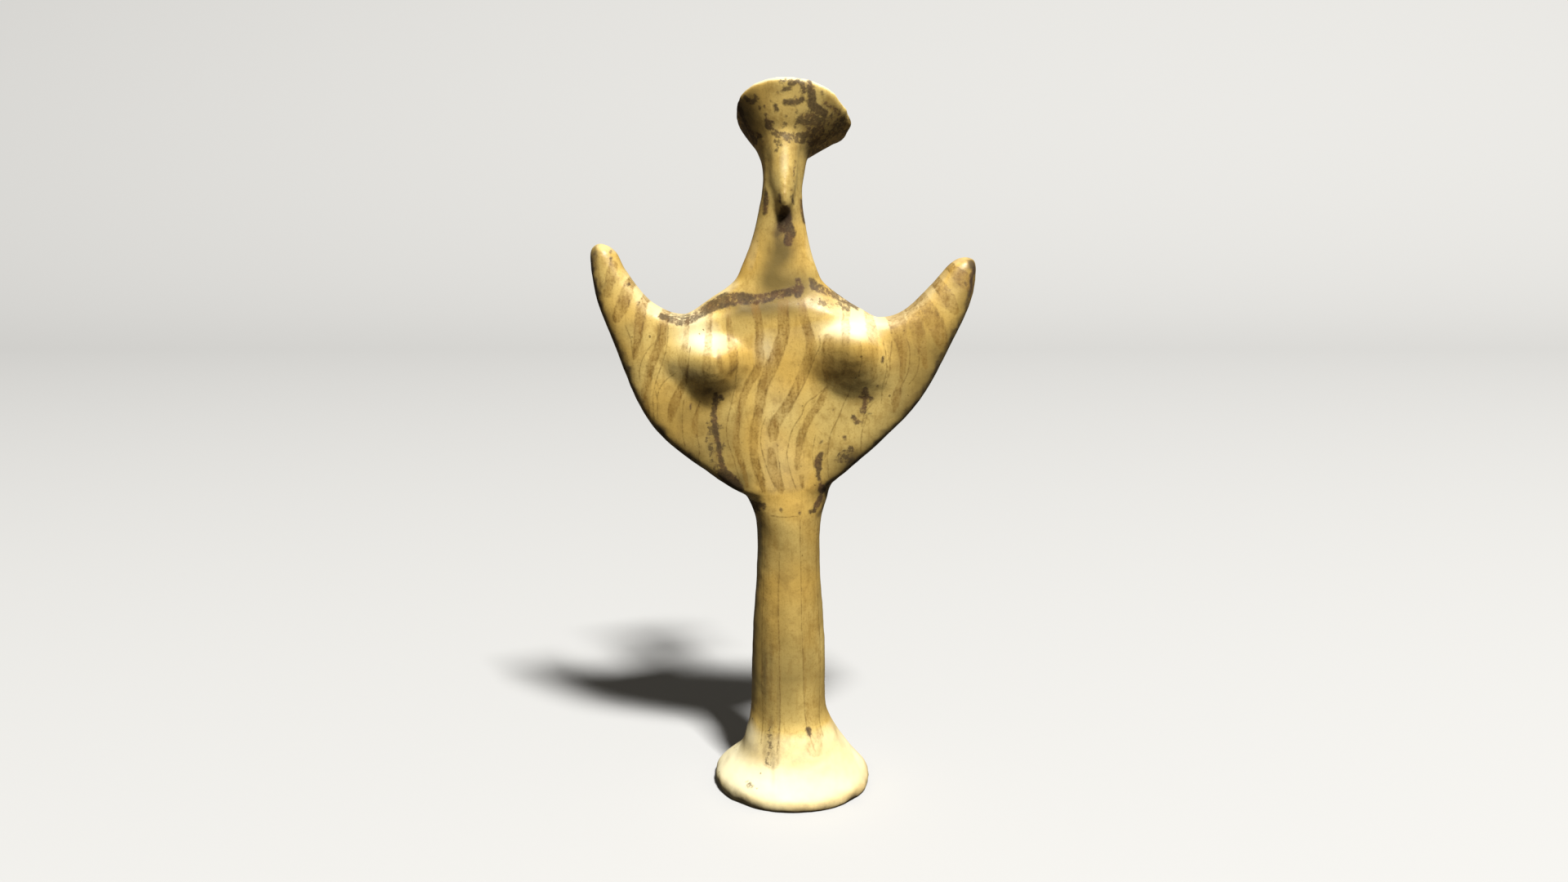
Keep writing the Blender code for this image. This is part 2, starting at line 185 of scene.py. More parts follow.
TORSO_STRIPES = (
    worn(
        (-19.8, 80.0, 1.4), (-20.1, 77.8, 1.4), (-20.4, 75.4, 1.4), (-21.3, 73.3, 1.4),
        (-22.2, 71.1, 1.3), (-22.7, 68.8, 1.2), (-23.2, 66.3, 1.4), (-23.1, 63.6, 1.1),
        (-22.9, 61.7, 0.7),
    ),
    worn(
        (-16.2, 71.8, 0.3), (-16.8, 69.3, 0.8), (-18.1, 66.5, 1.4), (-18.9, 64.5, 1.4),
        (-19.3, 62.8, 0.8),
    ),
    worn((-14.7, 65.3, 0.3), (-15.2, 63.4, 0.6), (-15.4, 61.7, 0.9), (-15.2, 60.2, 0.5)),
    worn((-11.4, 74.2, 0.4), (-11.3, 72.3, 0.9), (-11.0, 70.8, 0.6), strength=0.5),
    worn(
        (-5.9, 80.6, 1.5), (-5.3, 77.7, 1.2), (-5.3, 74.6, 1.2), (-5.2, 72.0, 1.3), (-6.0, 70.1, 1.3),
        (-7.2, 68.1, 1.2), (-8.0, 65.9, 1.0), (-8.6, 63.0, 1.0), (-9.0, 60.1, 1.0), (-8.6, 57.3, 0.9),
        (-7.8, 54.5, 0.8), (-7.2, 51.8, 0.4), strength=0.95,
    ),
    worn(
        (-1.6, 80.8, 1.7), (-1.5, 78.7, 1.8), (-1.5, 76.6, 1.8), (-2.2, 74.2, 1.8), (-3.3, 71.4, 2.0),
        (-4.5, 68.7, 1.8), (-5.1, 66.2, 1.5), (-5.5, 63.7, 1.4), (-6.1, 61.2, 1.4), (-6.3, 58.6, 1.3),
        (-5.9, 55.7, 1.4), (-5.1, 53.0, 1.2), (-4.6, 51.2, 0.7), strength=0.95,
    ),
    worn(
        (1.2, 81.3, 1.1), (1.7, 78.7, 1.4), (2.4, 76.3, 1.5), (2.7, 74.5, 1.6), (2.2, 72.0, 1.5),
        (1.3, 69.6, 1.5), (0.3, 67.4, 1.6), (-0.8, 65.3, 1.6), (-2.0, 63.5, 1.7), (-3.0, 61.9, 1.9),
        (-3.2, 59.9, 1.2), strength=0.85,
    ),
    worn((-3.5, 57.9, 1.1), (-3.2, 55.3, 1.6), (-2.6, 53.1, 1.6), (-1.9, 51.4, 0.9), strength=0.85),
    worn(
        (5.5, 68.6, 0.4), (4.1, 65.4, 1.2), (2.8, 63.6, 1.1), (1.8, 61.6, 1.2), (1.1, 59.6, 1.3),
        (0.8, 57.3, 0.9), (0.6, 55.0, 0.7), strength=0.85,
    ),
    worn((1.3, 53.6, 0.7), (1.5, 51.9, 0.6)),
    worn((5.3, 75.7, 1.6), (5.3, 73.3, 2.0), (5.3, 70.8, 1.6), (5.4, 68.9, 0.8), strength=0.6),
    worn((8.2, 80.5, 1.1), (8.0, 76.5, 1.3), (7.8, 73.0, 1.1), (7.6, 70.5, 0.6), strength=0.6),
    worn((11.7, 79.8, 1.3), (12.2, 75.6, 1.6), (12.4, 72.4, 1.2), (12.2, 69.5, 0.6), strength=0.6),
    worn((-13.0, 80.5, 0.9), (-13.1, 75.5, 1.0), (-13.3, 71.4, 1.2), (-13.4, 69.0, 0.5), strength=0.7),
    worn((-16.3, 79.5, 0.7), (-16.6, 76.0, 0.9), (-17.0, 72.5, 1.2), (-17.0, 70.8, 0.7), strength=0.6),
    worn(
        (-10.2, 81.5, 0.7), (-9.9, 77.0, 0.9), (-9.3, 73.8, 1.3), (-9.2, 71.6, 1.2), (-10.0, 70.3, 0.6),
        strength=0.8,
    ),
    worn(
        (15.8, 80.0, 2.8), (16.1, 78.0, 2.8), (16.4, 76.2, 2.4), (16.9, 74.1, 1.6), (17.0, 71.7, 1.1),
        (16.8, 68.9, 0.7), (16.1, 66.4, 1.4), (15.8, 64.1, 0.6), strength=0.8,
    ),
    worn(
        (17.8, 81.4, 1.8), (18.6, 79.4, 2.1), (19.1, 77.3, 2.2), (19.5, 75.2, 1.9), (20.1, 73.2, 1.2),
        (20.7, 71.0, 0.5), strength=0.85,
    ),
)
TORSO_LINES = (
    line((-21.0, 77.6), (-21.2, 75.4), (-22.8, 73.5), (-23.8, 71.3), (-24.0, 69.1)),
    line((-19.4, 77.5), (-19.6, 74.4), (-20.4, 71.7), (-21.4, 68.9), (-21.9, 66.1), (-22.0, 62.7)),
    line((-18.2, 70.3), (-20.4, 68.5), (-21.2, 66.4), (-21.3, 62.8)),
    line((-15.9, 74.3), (-16.2, 71.8), (-16.6, 69.0)),
    line((-17.1, 65.7), (-17.4, 63.4), (-17.4, 60.5), (-17.1, 58.4)),
    line((-14.6, 65.8), (-15.2, 64.0)),
    line((-15.1, 60.2), (-14.8, 58.3), (-14.9, 55.8)),
    line(
        (-8.6, 73.7), (-8.7, 71.1), (-9.1, 68.1), (-9.8, 64.8), (-10.4, 62.2), (-10.4, 59.7),
        (-9.5, 56.7), (-8.5, 53.3),
    ),
    line((3.9, 76.1), (4.1, 74.7), (3.2, 72.6), (2.1, 69.4), (0.7, 66.7), (-1.0, 64.3)),
    line((-4.4, 63.0), (-5.0, 61.2), (-5.1, 59.0), (-4.6, 56.4), (-3.8, 54.2), (-3.0, 52.1)),
    line(
        (5.4, 68.2), (3.6, 66.7), (2.0, 65.4), (1.3, 63.5), (0.0, 61.6), (-0.6, 59.6), (-1.0, 57.3),
        (-0.5, 54.5), (0.3, 51.8),
    ),
    line((3.5, 60.1), (3.0, 57.6), (3.3, 55.0)),
    line((8.8, 67.7), (6.8, 62.6), (5.7, 60.1), (5.4, 57.2), (5.6, 53.6)),
    line((11.6, 63.5), (10.8, 60.8), (10.7, 57.7)),
    line((13.9, 75.1), (14.3, 73.1), (14.4, 70.6), (13.9, 68.2), (13.8, 65.6)),
    line((15.2, 75.0), (15.0, 72.5), (14.8, 69.9), (14.1, 67.6)),
    line((10.2, 75.3), (10.4, 72.9), (10.0, 70.3)),
    line((-2.5, 58.7), (-2.3, 56.2), (-1.9, 53.6), (-1.4, 51.7)),
    line((5.8, 60.1), (5.2, 58.5), (5.0, 56.7)),
    line((12.2, 65.2), (11.1, 63.7), (10.7, 61.7)),
    line((17.7, 75.2), (18.1, 72.9), (17.7, 70.0), (16.8, 67.9)),
    line((19.6, 72.5), (19.2, 70.0), (18.1, 68.3)),
)
SHOULDER_BAND = (
    dark((-20.5, 78.9, 0.7), (-18.6, 78.3, 1.1), (-16.3, 78.2, 1.2), (-14.4, 79.4, 1.1), strength=0.75),
    dark(
        (-14.4, 79.4, 1.2), (-12.7, 80.3, 1.6), (-10.7, 81.3, 2.0), (-8.2, 81.7, 1.9),
        (-5.6, 81.6, 1.6), (-3.1, 82.2, 1.4), (-1.2, 82.6, 1.4), (-0.1, 83.0, 1.3), strength=0.85,
    ),
    dark((0.7, 84.3, 1.1), (1.0, 83.3, 1.4), (0.7, 82.4, 1.3), strength=0.85),
    dark(
        (2.8, 84.4, 0.8), (3.2, 83.5, 1.3), (4.5, 82.9, 1.3), (6.0, 82.2, 1.1), (7.9, 81.2, 0.9),
        (10.1, 80.1, 0.7), strength=0.75,
    ),
    dark((3.0, 81.4, 0.8), (4.9, 81.1, 1.1), (6.8, 80.6, 0.9), (8.3, 80.0, 0.6), strength=0.3),
    dark(
        (-20.0, 78.6, 0.9), (-14.6, 79.4, 1.5), (-8.6, 81.6, 1.9), (-1.5, 82.7, 1.6), (5.0, 82.4, 1.7),
        (10.5, 80.0, 1.2), (16.0, 78.0, 0.8), side=Side.BACK, strength=0.55,
    ),
)
TORSO_REMAINS = (
    dark(
        (-12.0, 67.3, 0.6), (-12.3, 64.7, 0.9), (-12.4, 62.9, 1.1), (-12.2, 60.9, 1.0),
        (-11.7, 58.4, 0.9), (-11.5, 56.1, 1.1), (-11.1, 54.2, 1.9), strength=0.85,
    ),
    dark((-13.1, 62.0, 0.9), (-12.9, 59.4, 1.5), (-12.5, 57.0, 1.6), (-11.8, 55.0, 1.6), strength=0.28),
    dark((-11.1, 54.2, 1.8), (-9.9, 52.8, 2.3), (-8.6, 51.6, 1.5), strength=0.85),
    dark((7.2, 56.3, 1.2), (8.3, 57.0, 2.0), (9.1, 57.8, 1.0), strength=0.35),
    dark((-2.0, 48.4, 0.4), (-1.8, 48.2, 0.4)),
    dark((1.0, 47.9, 0.4), (1.1, 47.6, 0.35)),
    dark((2.6, 48.0, 0.3), (2.8, 47.6, 0.35)),
    dark((-7.2, 48.5, 0.9), (-6.2, 48.3, 1.7), (-4.9, 48.6, 1.2), (-4.4, 48.5, 0.4), strength=0.7),
    dark((-16.0, 65.3, 0.4), (-16.1, 64.5, 0.4)),
    dark((-11.3, 66.6, 0.8), (-10.9, 66.2, 0.3)),
    dark((11.1, 67.8, 0.9), (11.4, 66.3, 1.4), (12.3, 66.2, 0.6), strength=0.85),
    dark((10.3, 66.6, 0.4), (11.2, 66.1, 0.8), (11.1, 65.0, 0.8), (10.9, 64.1, 1.0), strength=0.85),
    dark((9.4, 63.2, 0.7), (10.0, 62.5, 0.9), (10.7, 62.4, 0.5), strength=0.8),
    dark((8.0, 60.0, 0.6), (8.2, 59.6, 0.4)),
    dark((6.3, 64.6, 0.3), (6.3, 64.5, 0.3)),
    dark((4.5, 59.4, 0.3), (4.2, 58.9, 0.3)),
    dark((4.5, 57.4, 0.7), (4.1, 56.7, 1.1), (3.9, 55.7, 1.3), (4.1, 54.9, 0.9)),
    dark((3.9, 54.8, 0.6), (4.0, 53.6, 0.6), (4.4, 52.4, 0.7), strength=0.8),
    dark((4.5, 51.9, 1.2), (4.6, 51.1, 1.3)),
    dark((4.4, 49.9, 0.9), (3.9, 48.8, 1.2), (3.4, 47.8, 0.7)),
    dark((8.7, 57.1, 0.5), (8.4, 56.8, 0.5), strength=0.6),
    dark((13.8, 72.9, 0.4), (13.7, 72.3, 0.5)),
    dark((28.0, 86.8, 0.3), (27.9, 85.6, 0.7), (27.5, 84.6, 0.6), (27.6, 83.3, 0.4), (27.3, 82.0, 0.3)),
    dark((-28.3, 88.7, 0.4), (-28.3, 88.6, 0.4)),
    dark((-28.2, 87.8, 0.5), (-28.2, 87.7, 0.5)),
    dark((-25.5, 83.9, 0.4), (-25.5, 83.8, 0.4)),
    dark((-24.0, 81.1, 0.4), (-24.0, 81.0, 0.4)),
)
FACE = (
    dark((-4.2, 98.2, 0.4), (-4.2, 96.5, 1.0), (-4.3, 94.8, 0.8)),
    dark((1.1, 96.7, 0.4), (1.5, 95.2, 1.0), (1.8, 93.3, 0.8)),
    dark((-2.1, 97.5, 0.5), (-2.1, 96.6, 0.7), strength=0.9),
    # Under the nose tip: partly paint and partly a painted shadow of the nose.
    dark((-1.3, 95.2, 1.6), (-1.3, 93.8, 2.2), (-1.7, 92.4, 1.6), strength=0.95),
    dark((-0.6, 93.0, 1.0), (-0.5, 91.6, 1.6), (-0.8, 90.3, 1.4), strength=0.95),
    dark((-2.7, 105.5, 0.4), (-2.3, 104.8, 0.5), (-2.6, 104.1, 0.4), strength=0.5),
    dark((0.2, 102.4, 0.2), (0.0, 100.6, 0.35), (-0.1, 99.2, 0.25), strength=0.6),
    dark((-0.2, 98.4, 0.4), (-0.2, 97.6, 0.3), (-0.1, 96.2, 0.35), strength=0.7),
)
HEADDRESS = (
    dark((-1.6, 112.9, 0.6), (-0.6, 113.2, 0.5), strength=0.6),
    dark((0.2, 112.0, 0.3), (0.3, 111.9, 0.3)),
    dark((4.2, 112.6, 0.4), (4.4, 112.4, 0.3)),
    dark((-4.4, 110.6, 0.3), (-4.3, 110.4, 0.35)),
    dark((-1.9, 104.9, 0.3), (-1.7, 104.7, 0.3), strength=0.8),
    dark((-0.5, 113.9, 0.8), (0.5, 114.0, 0.8), (1.3, 113.7, 0.7), (1.5, 112.6, 0.5), strength=0.75),
    dark((-1.3, 111.2, 0.8), (0.0, 111.1, 1.0), (1.3, 111.6, 0.8), strength=0.85),
    dark((2.3, 114.0, 0.9), (2.7, 112.7, 1.2), (2.8, 110.9, 1.1), strength=0.9),
    dark(
        (-3.2, 106.9, 0.7), (-1.9, 106.3, 1.2), (-0.5, 105.9, 1.5), (1.0, 105.9, 1.6),
        (2.3, 106.3, 1.8), strength=0.62,
    ),
    dark((0.9, 108.4, 1.1), (2.2, 108.6, 2.4), (3.4, 107.3, 2.8), (2.9, 105.6, 2.0), strength=0.7),
    dark((2.5, 110.8, 0.9), (3.6, 110.1, 1.5), (4.7, 109.6, 1.2), strength=0.8),
    dark((4.5, 108.2, 1.4), (6.3, 108.5, 1.9), (8.1, 108.2, 1.8), strength=0.45),
    dark((4.1, 105.5, 1.4), (5.8, 106.5, 1.3), (7.6, 107.3, 1.3), strength=0.42),
    dark((4.6, 111.2, 0.6), (5.7, 110.5, 0.8), (7.0, 109.6, 0.9), strength=0.7),
    dark((3.4, 103.8, 1.2), (5.2, 104.6, 1.2), (7.4, 106.2, 1.1), (8.6, 107.4, 1.2), strength=0.38),
    dark((3.2, 102.2, 0.8), (4.6, 103.0, 1.0), (6.8, 104.6, 0.8), strength=0.45),
    dark((-7.9, 108.4, 1.3), (-7.0, 106.8, 1.5), (-6.1, 105.4, 1.2), strength=0.65),
    dark((-8.6, 111.2, 0.9), (-8.2, 109.5, 1.4), strength=0.75),
    dark((-7.3, 112.0, 0.5), (-6.3, 111.3, 0.7), (-5.6, 111.6, 0.4), strength=0.6),
    dark((-4.0, 108.7, 0.8), (-3.7, 107.7, 1.3), (-3.2, 108.3, 0.6), strength=0.85),
    dark((-2.7, 110.6, 0.6), (-2.6, 110.0, 0.6), strength=0.85),
    dark((-1.3, 109.2, 0.3), (-1.2, 109.0, 0.3), strength=0.8),
    dark((-1.8, 107.8, 0.3), (-1.6, 107.6, 0.4), strength=0.8),
    dark((0.4, 110.0, 0.3), (0.5, 109.8, 0.3), strength=0.8),
    dark((-2.4, 112.6, 0.3), (-2.3, 112.4, 0.4), strength=0.8),
    dark((-2.0, 114.2, 0.4), (-1.2, 114.3, 0.3), strength=0.5),
    dark(
        (-7.6, 104.0, 1.0), (-3.0, 102.2, 1.6), (2.5, 101.4, 1.4), (7.0, 102.8, 0.9), side=Side.BACK,
        strength=0.45,
    ),
)
SPECKS = tuple(
    dark((side, up, width), (side + 0.15, up - 0.2, width), strength=0.75)
    for side, up, width in (
        (-5.8, 112.1, 0.4), (-4.2, 109.4, 0.35), (-1.4, 108.1, 0.4), (-5.3, 106.4, 0.8), (-6.2, 106.9, 0.5),
        (-4.6, 105.5, 0.4), (-3.4, 111.4, 0.25), (-5.2, 110.6, 0.25), (0.9, 112.6, 0.3), (0.2, 107.6, 0.25),
        (5.7, 109.3, 0.6), (6.9, 110.0, 0.4), (12.0, 63.9, 0.3), (13.0, 68.4, 0.3), (5.6, 58.1, 0.3),
        (9.0, 58.4, 0.4), (7.6, 57.9, 0.4), (-14.0, 67.2, 0.3), (-11.9, 65.9, 0.5), (-11.3, 61.9, 0.4),
        (-13.0, 60.4, 0.35), (-10.9, 58.9, 0.35), (26.6, 84.0, 0.35), (25.4, 76.8, 0.3), (-29.6, 84.6, 0.3),
    )
)
STEM = (
    worn(
        (-3.8, 46.0, 3.8), (-3.9, 37.0, 4.2), (-3.4, 29.6, 3.9), (-3.1, 21.3, 3.9), (-2.8, 13.0, 3.2),
        (-2.0, 6.6, 1.9), side=Side.STEM, strength=0.35,
    ),
    worn(
        (5.0, 45.6, 5.0), (5.0, 37.5, 5.0), (4.3, 29.5, 3.8), (4.2, 21.0, 3.5), (4.2, 14.0, 3.0),
        (3.1, 8.3, 1.9), side=Side.STEM, strength=0.35,
    ),
    worn(
        (-13.4, 46.0, 3.6), (-13.8, 34.0, 4.0), (-13.2, 22.0, 3.6), (-13.6, 12.0, 2.8),
        (-13.0, 6.4, 1.8), side=Side.STEM, strength=0.35,
    ),
    worn(
        (13.9, 45.0, 3.9), (13.2, 33.0, 4.1), (13.6, 20.0, 3.5), (13.0, 11.0, 2.6), (13.2, 7.2, 1.7),
        side=Side.STEM, strength=0.35,
    ),
    dark((-3.0, 12.6, 0.3), (-2.6, 9.6, 0.4), (-2.3, 6.0, 0.3), side=Side.STEM, strength=0.3),
    dark((-3.6, 3.5, 0.5), (-3.4, 3.3, 0.5), side=Side.STEM, strength=0.8),
    dark((2.9, 11.4, 0.6), (2.9, 10.6, 0.7), side=Side.STEM, strength=0.8),
    dark((13.4, 19.0, 0.7), (13.2, 12.0, 0.9), (13.0, 8.0, 0.5), side=Side.STEM, strength=0.3),
    line((-4.9, 46.0), (-5.0, 36.0), (-4.8, 26.0), (-4.5, 16.0), (-3.8, 9.0), side=Side.STEM),
    line((-1.7, 41.0), (-1.8, 33.0), (-1.5, 24.0), (-1.3, 15.0), (-1.4, 8.0), side=Side.STEM),
    line((2.1, 46.4), (2.3, 38.0), (2.2, 30.0), (2.4, 21.0), (2.6, 14.0), (3.1, 8.5), side=Side.STEM),
    line((6.2, 46.0), (6.0, 36.0), (6.1, 26.0), (5.8, 16.0), (4.9, 10.0), side=Side.STEM),
    line((-3.2, 47.2), (-1.2, 47.1), (1.3, 47.2), side=Side.STEM),
)
STROKES = (
    *LEFT_ARM, *RIGHT_ARM, *TORSO_STRIPES, *TORSO_LINES, *SHOULDER_BAND,
    *TORSO_REMAINS, *FACE, *HEADDRESS, *SPECKS, *STEM,
)


def smoothstep(low: float | np.ndarray, high: float, value: np.ndarray) -> np.ndarray:
    """Rises smoothly from 0 at low to 1 at high, or falls if low is above high."""
    share = np.clip((value - low) / (high - low), 0.0, 1.0)
    return share * share * (3.0 - 2.0 * share)


def clouds(points: np.ndarray, size: float | tuple[float, float, float], seed: float = 0.0) -> np.ndarray:
    """Soft noise between about -1 and 1.

    Args:
        points: Places in millimetres.
        size: The width of a cloud in millimetres, or its width, depth and height.
        seed: Shifts the pattern.

    Returns:
        One value for each place.
    """
    scaled = points / np.array(size) + np.array((seed, 2.0 * seed, -seed))
    return np.array([noise.noise(Vector(place)) for place in scaled])


@dataclass(frozen=True)
class Fade:
    """A smooth change, from nothing at one value to the whole amount at another."""

    none: float
    whole: float
    amount: float = 1.0

    def at(self, values: np.ndarray) -> np.ndarray:
        """Says how much of the amount goes with each value."""
        return self.amount * smoothstep(self.none, self.whole, values)


@dataclass(frozen=True)
class Unevenness:
    """Irregular clouds of one size, with how much they add or take away at most."""

    amount: float
    size_mm: float | tuple[float, float, float]
    seed: float = 0.0

    def at(self, points: np.ndarray) -> np.ndarray:
        """Says what it adds at each point."""
        return self.amount * clouds(points, self.size_mm, self.seed)


@dataclass(frozen=True)
class Dent:
    """A place that a finger or a knock has moved."""

    place_mm: tuple[float, float, float]
    width_mm: float
    shift_mm: tuple[float, float, float]

    def press(self, points: np.ndarray) -> np.ndarray:
        """Moves the points round the place, less and less towards the dent's edge."""
        gap = np.linalg.norm(points - np.array(self.place_mm), axis=1)
        return points + smoothstep(self.width_mm, 0.0, gap)[:, None] * np.array(self.shift_mm)


@dataclass(frozen=True)
class Patch:
    """A soft oval patch of the front."""

    side_mm: float
    up_mm: float
    half_width_mm: float
    half_height_mm: float
    amount: float
    front_mm: float = 1.0

    def share(self, points: np.ndarray) -> np.ndarray:
        """Says how much of its full amount the patch gives each point in front of front_mm."""
        across = (points[:, 0] - self.side_mm) / self.half_width_mm
        upward = (points[:, 2] - self.up_mm) / self.half_height_mm
        return self.amount * np.exp(-(across**2) - upward**2) * (points[:, 1] < self.front_mm)


# How much paler the slip is painted at each height, towards 1, and how much darker, towards -1.
HEIGHT_TONES = (
    (0.0, 0.4),
    (6.0, 0.35),
    (10.0, 0.25),
    (13.0, -0.45),
    (20.0, -0.8),
    (25.0, -0.7),
    (30.0, -0.6),
    (36.0, -0.4),
    (40.0, -0.55),
    (44.0, -0.35),
    (52.0, 0.1),
    (60.0, 0.0),
    (80.0, 0.0),
    (92.0, -0.2),
    (102.0, -0.35),
    (108.0, -0.32),
    (115.0, -0.3),
)
# Painted highlights on the breasts and the flare and painted shade under the chin, below the shoulder
# band and on the lower torso, with some tones of the slip itself: where the front is paler, or under
# zero darker, than its height alone makes it.
TONES_AND_PAINTED_LIGHT = (
    Patch(-3.0, 86.8, 2.0, 3.0, -0.6),
    Patch(-1.5, 89.4, 1.6, 2.4, -0.8),
    Patch(-0.5, 83.6, 6.0, 2.0, -0.75),
    Patch(3.0, 85.2, 2.6, 2.6, -0.35),
    Patch(-4.6, 85.2, 1.6, 3.0, -0.35),
    Patch(-4.0, 80.3, 8.0, 1.7, -0.85),
    Patch(-6.0, 88.0, 1.5, 7.0, 0.35),
    Patch(3.2, 89.0, 1.8, 7.0, 0.5),
    Patch(-1.4, 102.0, 1.0, 2.8, 0.5),
    Patch(-14.6, 76.4, 3.6, 2.2, 0.6),
    Patch(-9.6, 76.4, 1.6, 2.0, -0.3),
    Patch(9.0, 77.3, 6.0, 1.8, 0.55),
    Patch(-12.0, 72.5, 4.5, 1.6, -0.25),
    Patch(-7.5, 108.5, 2.6, 4.0, -0.4),
    Patch(6.5, 107.5, 3.5, 3.0, -0.25),
    Patch(-14.5, 61.0, 4.0, 4.0, -0.42),
    Patch(-25.5, 77.0, 1.5, 1.5, -0.4),
    Patch(-8.5, 80.3, 4.0, 1.5, -0.4),
    Patch(-17.5, 65.0, 3.5, 3.0, -0.5),
    Patch(-10.0, 59.5, 3.4, 5.5, -0.5),
    Patch(-8.0, 53.0, 1.8, 2.2, -0.6),
    Patch(-4.4, 74.0, 1.6, 2.4, 0.4),
    Patch(2.5, 16.5, 2.0, 2.5, 0.3),
    Patch(4.6, 23.0, 1.0, 4.0, 0.4),
    Patch(22.0, 74.0, 3.0, 3.5, -0.4),
    Patch(26.0, 83.0, 1.8, 4.0, -0.4),
    Patch(-3.9, 34.0, 1.2, 12.0, 0.35),
    Patch(17.5, 71.5, 4.0, 6.0, -0.5),
    Patch(11.0, 66.0, 4.5, 4.5, -0.3),
    Patch(8.0, 56.0, 4.0, 3.0, -0.5),
    Patch(-7.5, 10.0, 1.5, 3.0, 0.6),
    Patch(-1.5, 108.5, 3.5, 5.0, 0.35),
    Patch(-4.5, 44.5, 2.5, 3.0, -0.55),
    Patch(-10.5, 3.5, 2.5, 3.5, 0.4),
)
# Where earth and spilt paint smudge the front, and painted shade under the breasts, nose and chin,
# on the headdress's left and under its brim beside the nose.
SMUDGES_AND_SHADE = (
    Patch(-12.6, 67.7, 2.2, 1.5, 0.65),
    Patch(-16.2, 70.2, 1.5, 1.0, 0.5),
    Patch(-18.5, 71.3, 0.9, 1.0, 0.55),
    Patch(-9.2, 71.2, 1.0, 0.9, 0.35),
    Patch(7.4, 71.2, 2.7, 2.2, 0.25),
    Patch(10.0, 68.3, 2.0, 1.2, 0.35),
    Patch(-1.3, 93.9, 1.3, 1.9, 1.1),
    Patch(-2.5, 91.4, 0.7, 1.5, 0.6),
    Patch(-9.1, 109.5, 1.3, 4.0, 0.6),
    Patch(-7.8, 108.2, 1.6, 3.4, 0.7),
    Patch(-1.0, 88.8, 1.8, 2.2, 0.1),
    Patch(7.4, 106.8, 2.4, 1.6, 0.2),
    Patch(2.2, 103.7, 1.5, 1.8, 0.85),
    Patch(-4.6, 20.5, 0.45, 5.5, 0.6),
    Patch(-3.6, 22.5, 0.35, 5.0, 0.35),
    Patch(-2.3, 14.0, 0.22, 6.0, 0.4),
    Patch(-3.5, 11.0, 0.45, 3.4, 0.5),
    Patch(-4.5, 9.5, 0.25, 3.0, 0.35),
    Patch(-3.2, 6.0, 0.3, 2.0, 0.35),
    Patch(-9.6, 1.6, 2.2, 0.9, 0.55),
    Patch(-6.0, 0.9, 1.6, 0.6, 0.3),
    Patch(1.2, 0.6, 0.9, 0.4, 0.5),
    Patch(9.5, 1.2, 1.6, 0.6, 0.4),
    Patch(8.4, 57.0, 1.7, 1.2, 0.35),
    Patch(-14.8, 58.0, 2.2, 1.4, 0.3),
    Patch(17.0, 66.5, 1.6, 3.0, 0.2),
)
# The headdress's chipped corner, its rim and flank, the base's rim, and the arm's tip.
DENTS = (
    Dent((9.0, 2.5, 108.0), 1.9, (0.4, 0.0, 0.0)),
    Dent((7.2, -0.6, 111.3), 2.6, (-0.2, 0.0, -0.2)),
    Dent((5.4, 6.6, 103.4), 4.2, (-0.3, 0.0, 0.8)),
    Dent((-12.6, 0.0, 3.2), 3.0, (0.4, 0.0, 0.0)),
    Dent((12.2, 0.0, 3.9), 3.0, (0.3, 0.0, 0.1)),
    Dent((8.5, 0.0, 8.5), 3.4, (-0.3, 0.0, 0.0)),
    Dent((-27.0, 0.0, 88.5), 3.0, (0.4, 0.0, 0.1)),
)

# What hands left in the clay: broad swells, finger marks and small waves all over it, long hollows
# along the stem, and an uneven, nicked lip round the base.
HAND_MARKS = (Unevenness(0.12, 8.0), Unevenness(0.06, 3.2, 4.0), Unevenness(0.03, 1.3, 7.0))
STEM_MARKS = Unevenness(0.1, (2.6, 2.6, 15.0), 9.0)
LIP_MARKS = Unevenness(0.25, (4.0, 4.0, 9.0), 12.0)
LIP_NICKS = Unevenness(0.5, 3.4, 20.0)

# Where the belly widens below the breasts, where the torso begins above the stem, and the base's lip.
BELLY = Fade(76.0, 66.0)
HEM = Fade(46.0, 53.0)
LIP = Fade(9.0, 11.0)


@dataclass(frozen=True)
class BackStripes:
    """Wavy stripes that fan out over the back, from the waist up to the shoulders, as on the front."""

    each_way: int = 5
    steps: int = 8
    top_mm: float = 79.0
    drop_mm: float = 27.5
    spread_mm: float = 4.7
    closing_mm: float = 3.5
    wave_mm: float = 1.2
    width_mm: float = 1.9
    thinning_mm: float = 1.1
    strength: float = 0.75

    def strokes(self) -> tuple[Stroke, ...]:
        """Draws each from its top down, with a wave and a swelling of its own."""
        strokes = []
        for number in range(-self.each_way, self.each_way + 1):
            dabs = []
            for step in range(self.steps + 1):
                fall = step / self.steps
                fan = number * (self.spread_mm - self.closing_mm * fall**1.4)
                wave = self.wave_mm * math.sin(1.8 * math.pi * fall + 0.5 * number)
                swelling = 1.0 + 0.25 * math.sin(2.3 * number + 6.0 * fall)
                width = (self.width_mm - self.thinning_mm * fall) * swelling
                dabs.append((fan + wave + TORSO_MIDDLE_MM, self.top_mm - self.drop_mm * fall, width))
            strokes.append(worn(*dabs, side=Side.BACK, strength=self.strength))
        return tuple(strokes)


def linear(hex_colour: str) -> tuple[float, float, float, float]:
    """Turns an sRGB hex colour into linear red, green, blue and alpha."""
    parts = [int(hex_colour[index : index + 2], 16) / 255.0 for index in (1, 3, 5)]
    red, green, blue = (
        part / 12.92 if part <= 0.04045 else ((part + 0.055) / 1.055) ** 2.4 for part in parts
    )
    return red, green, blue, 1.0


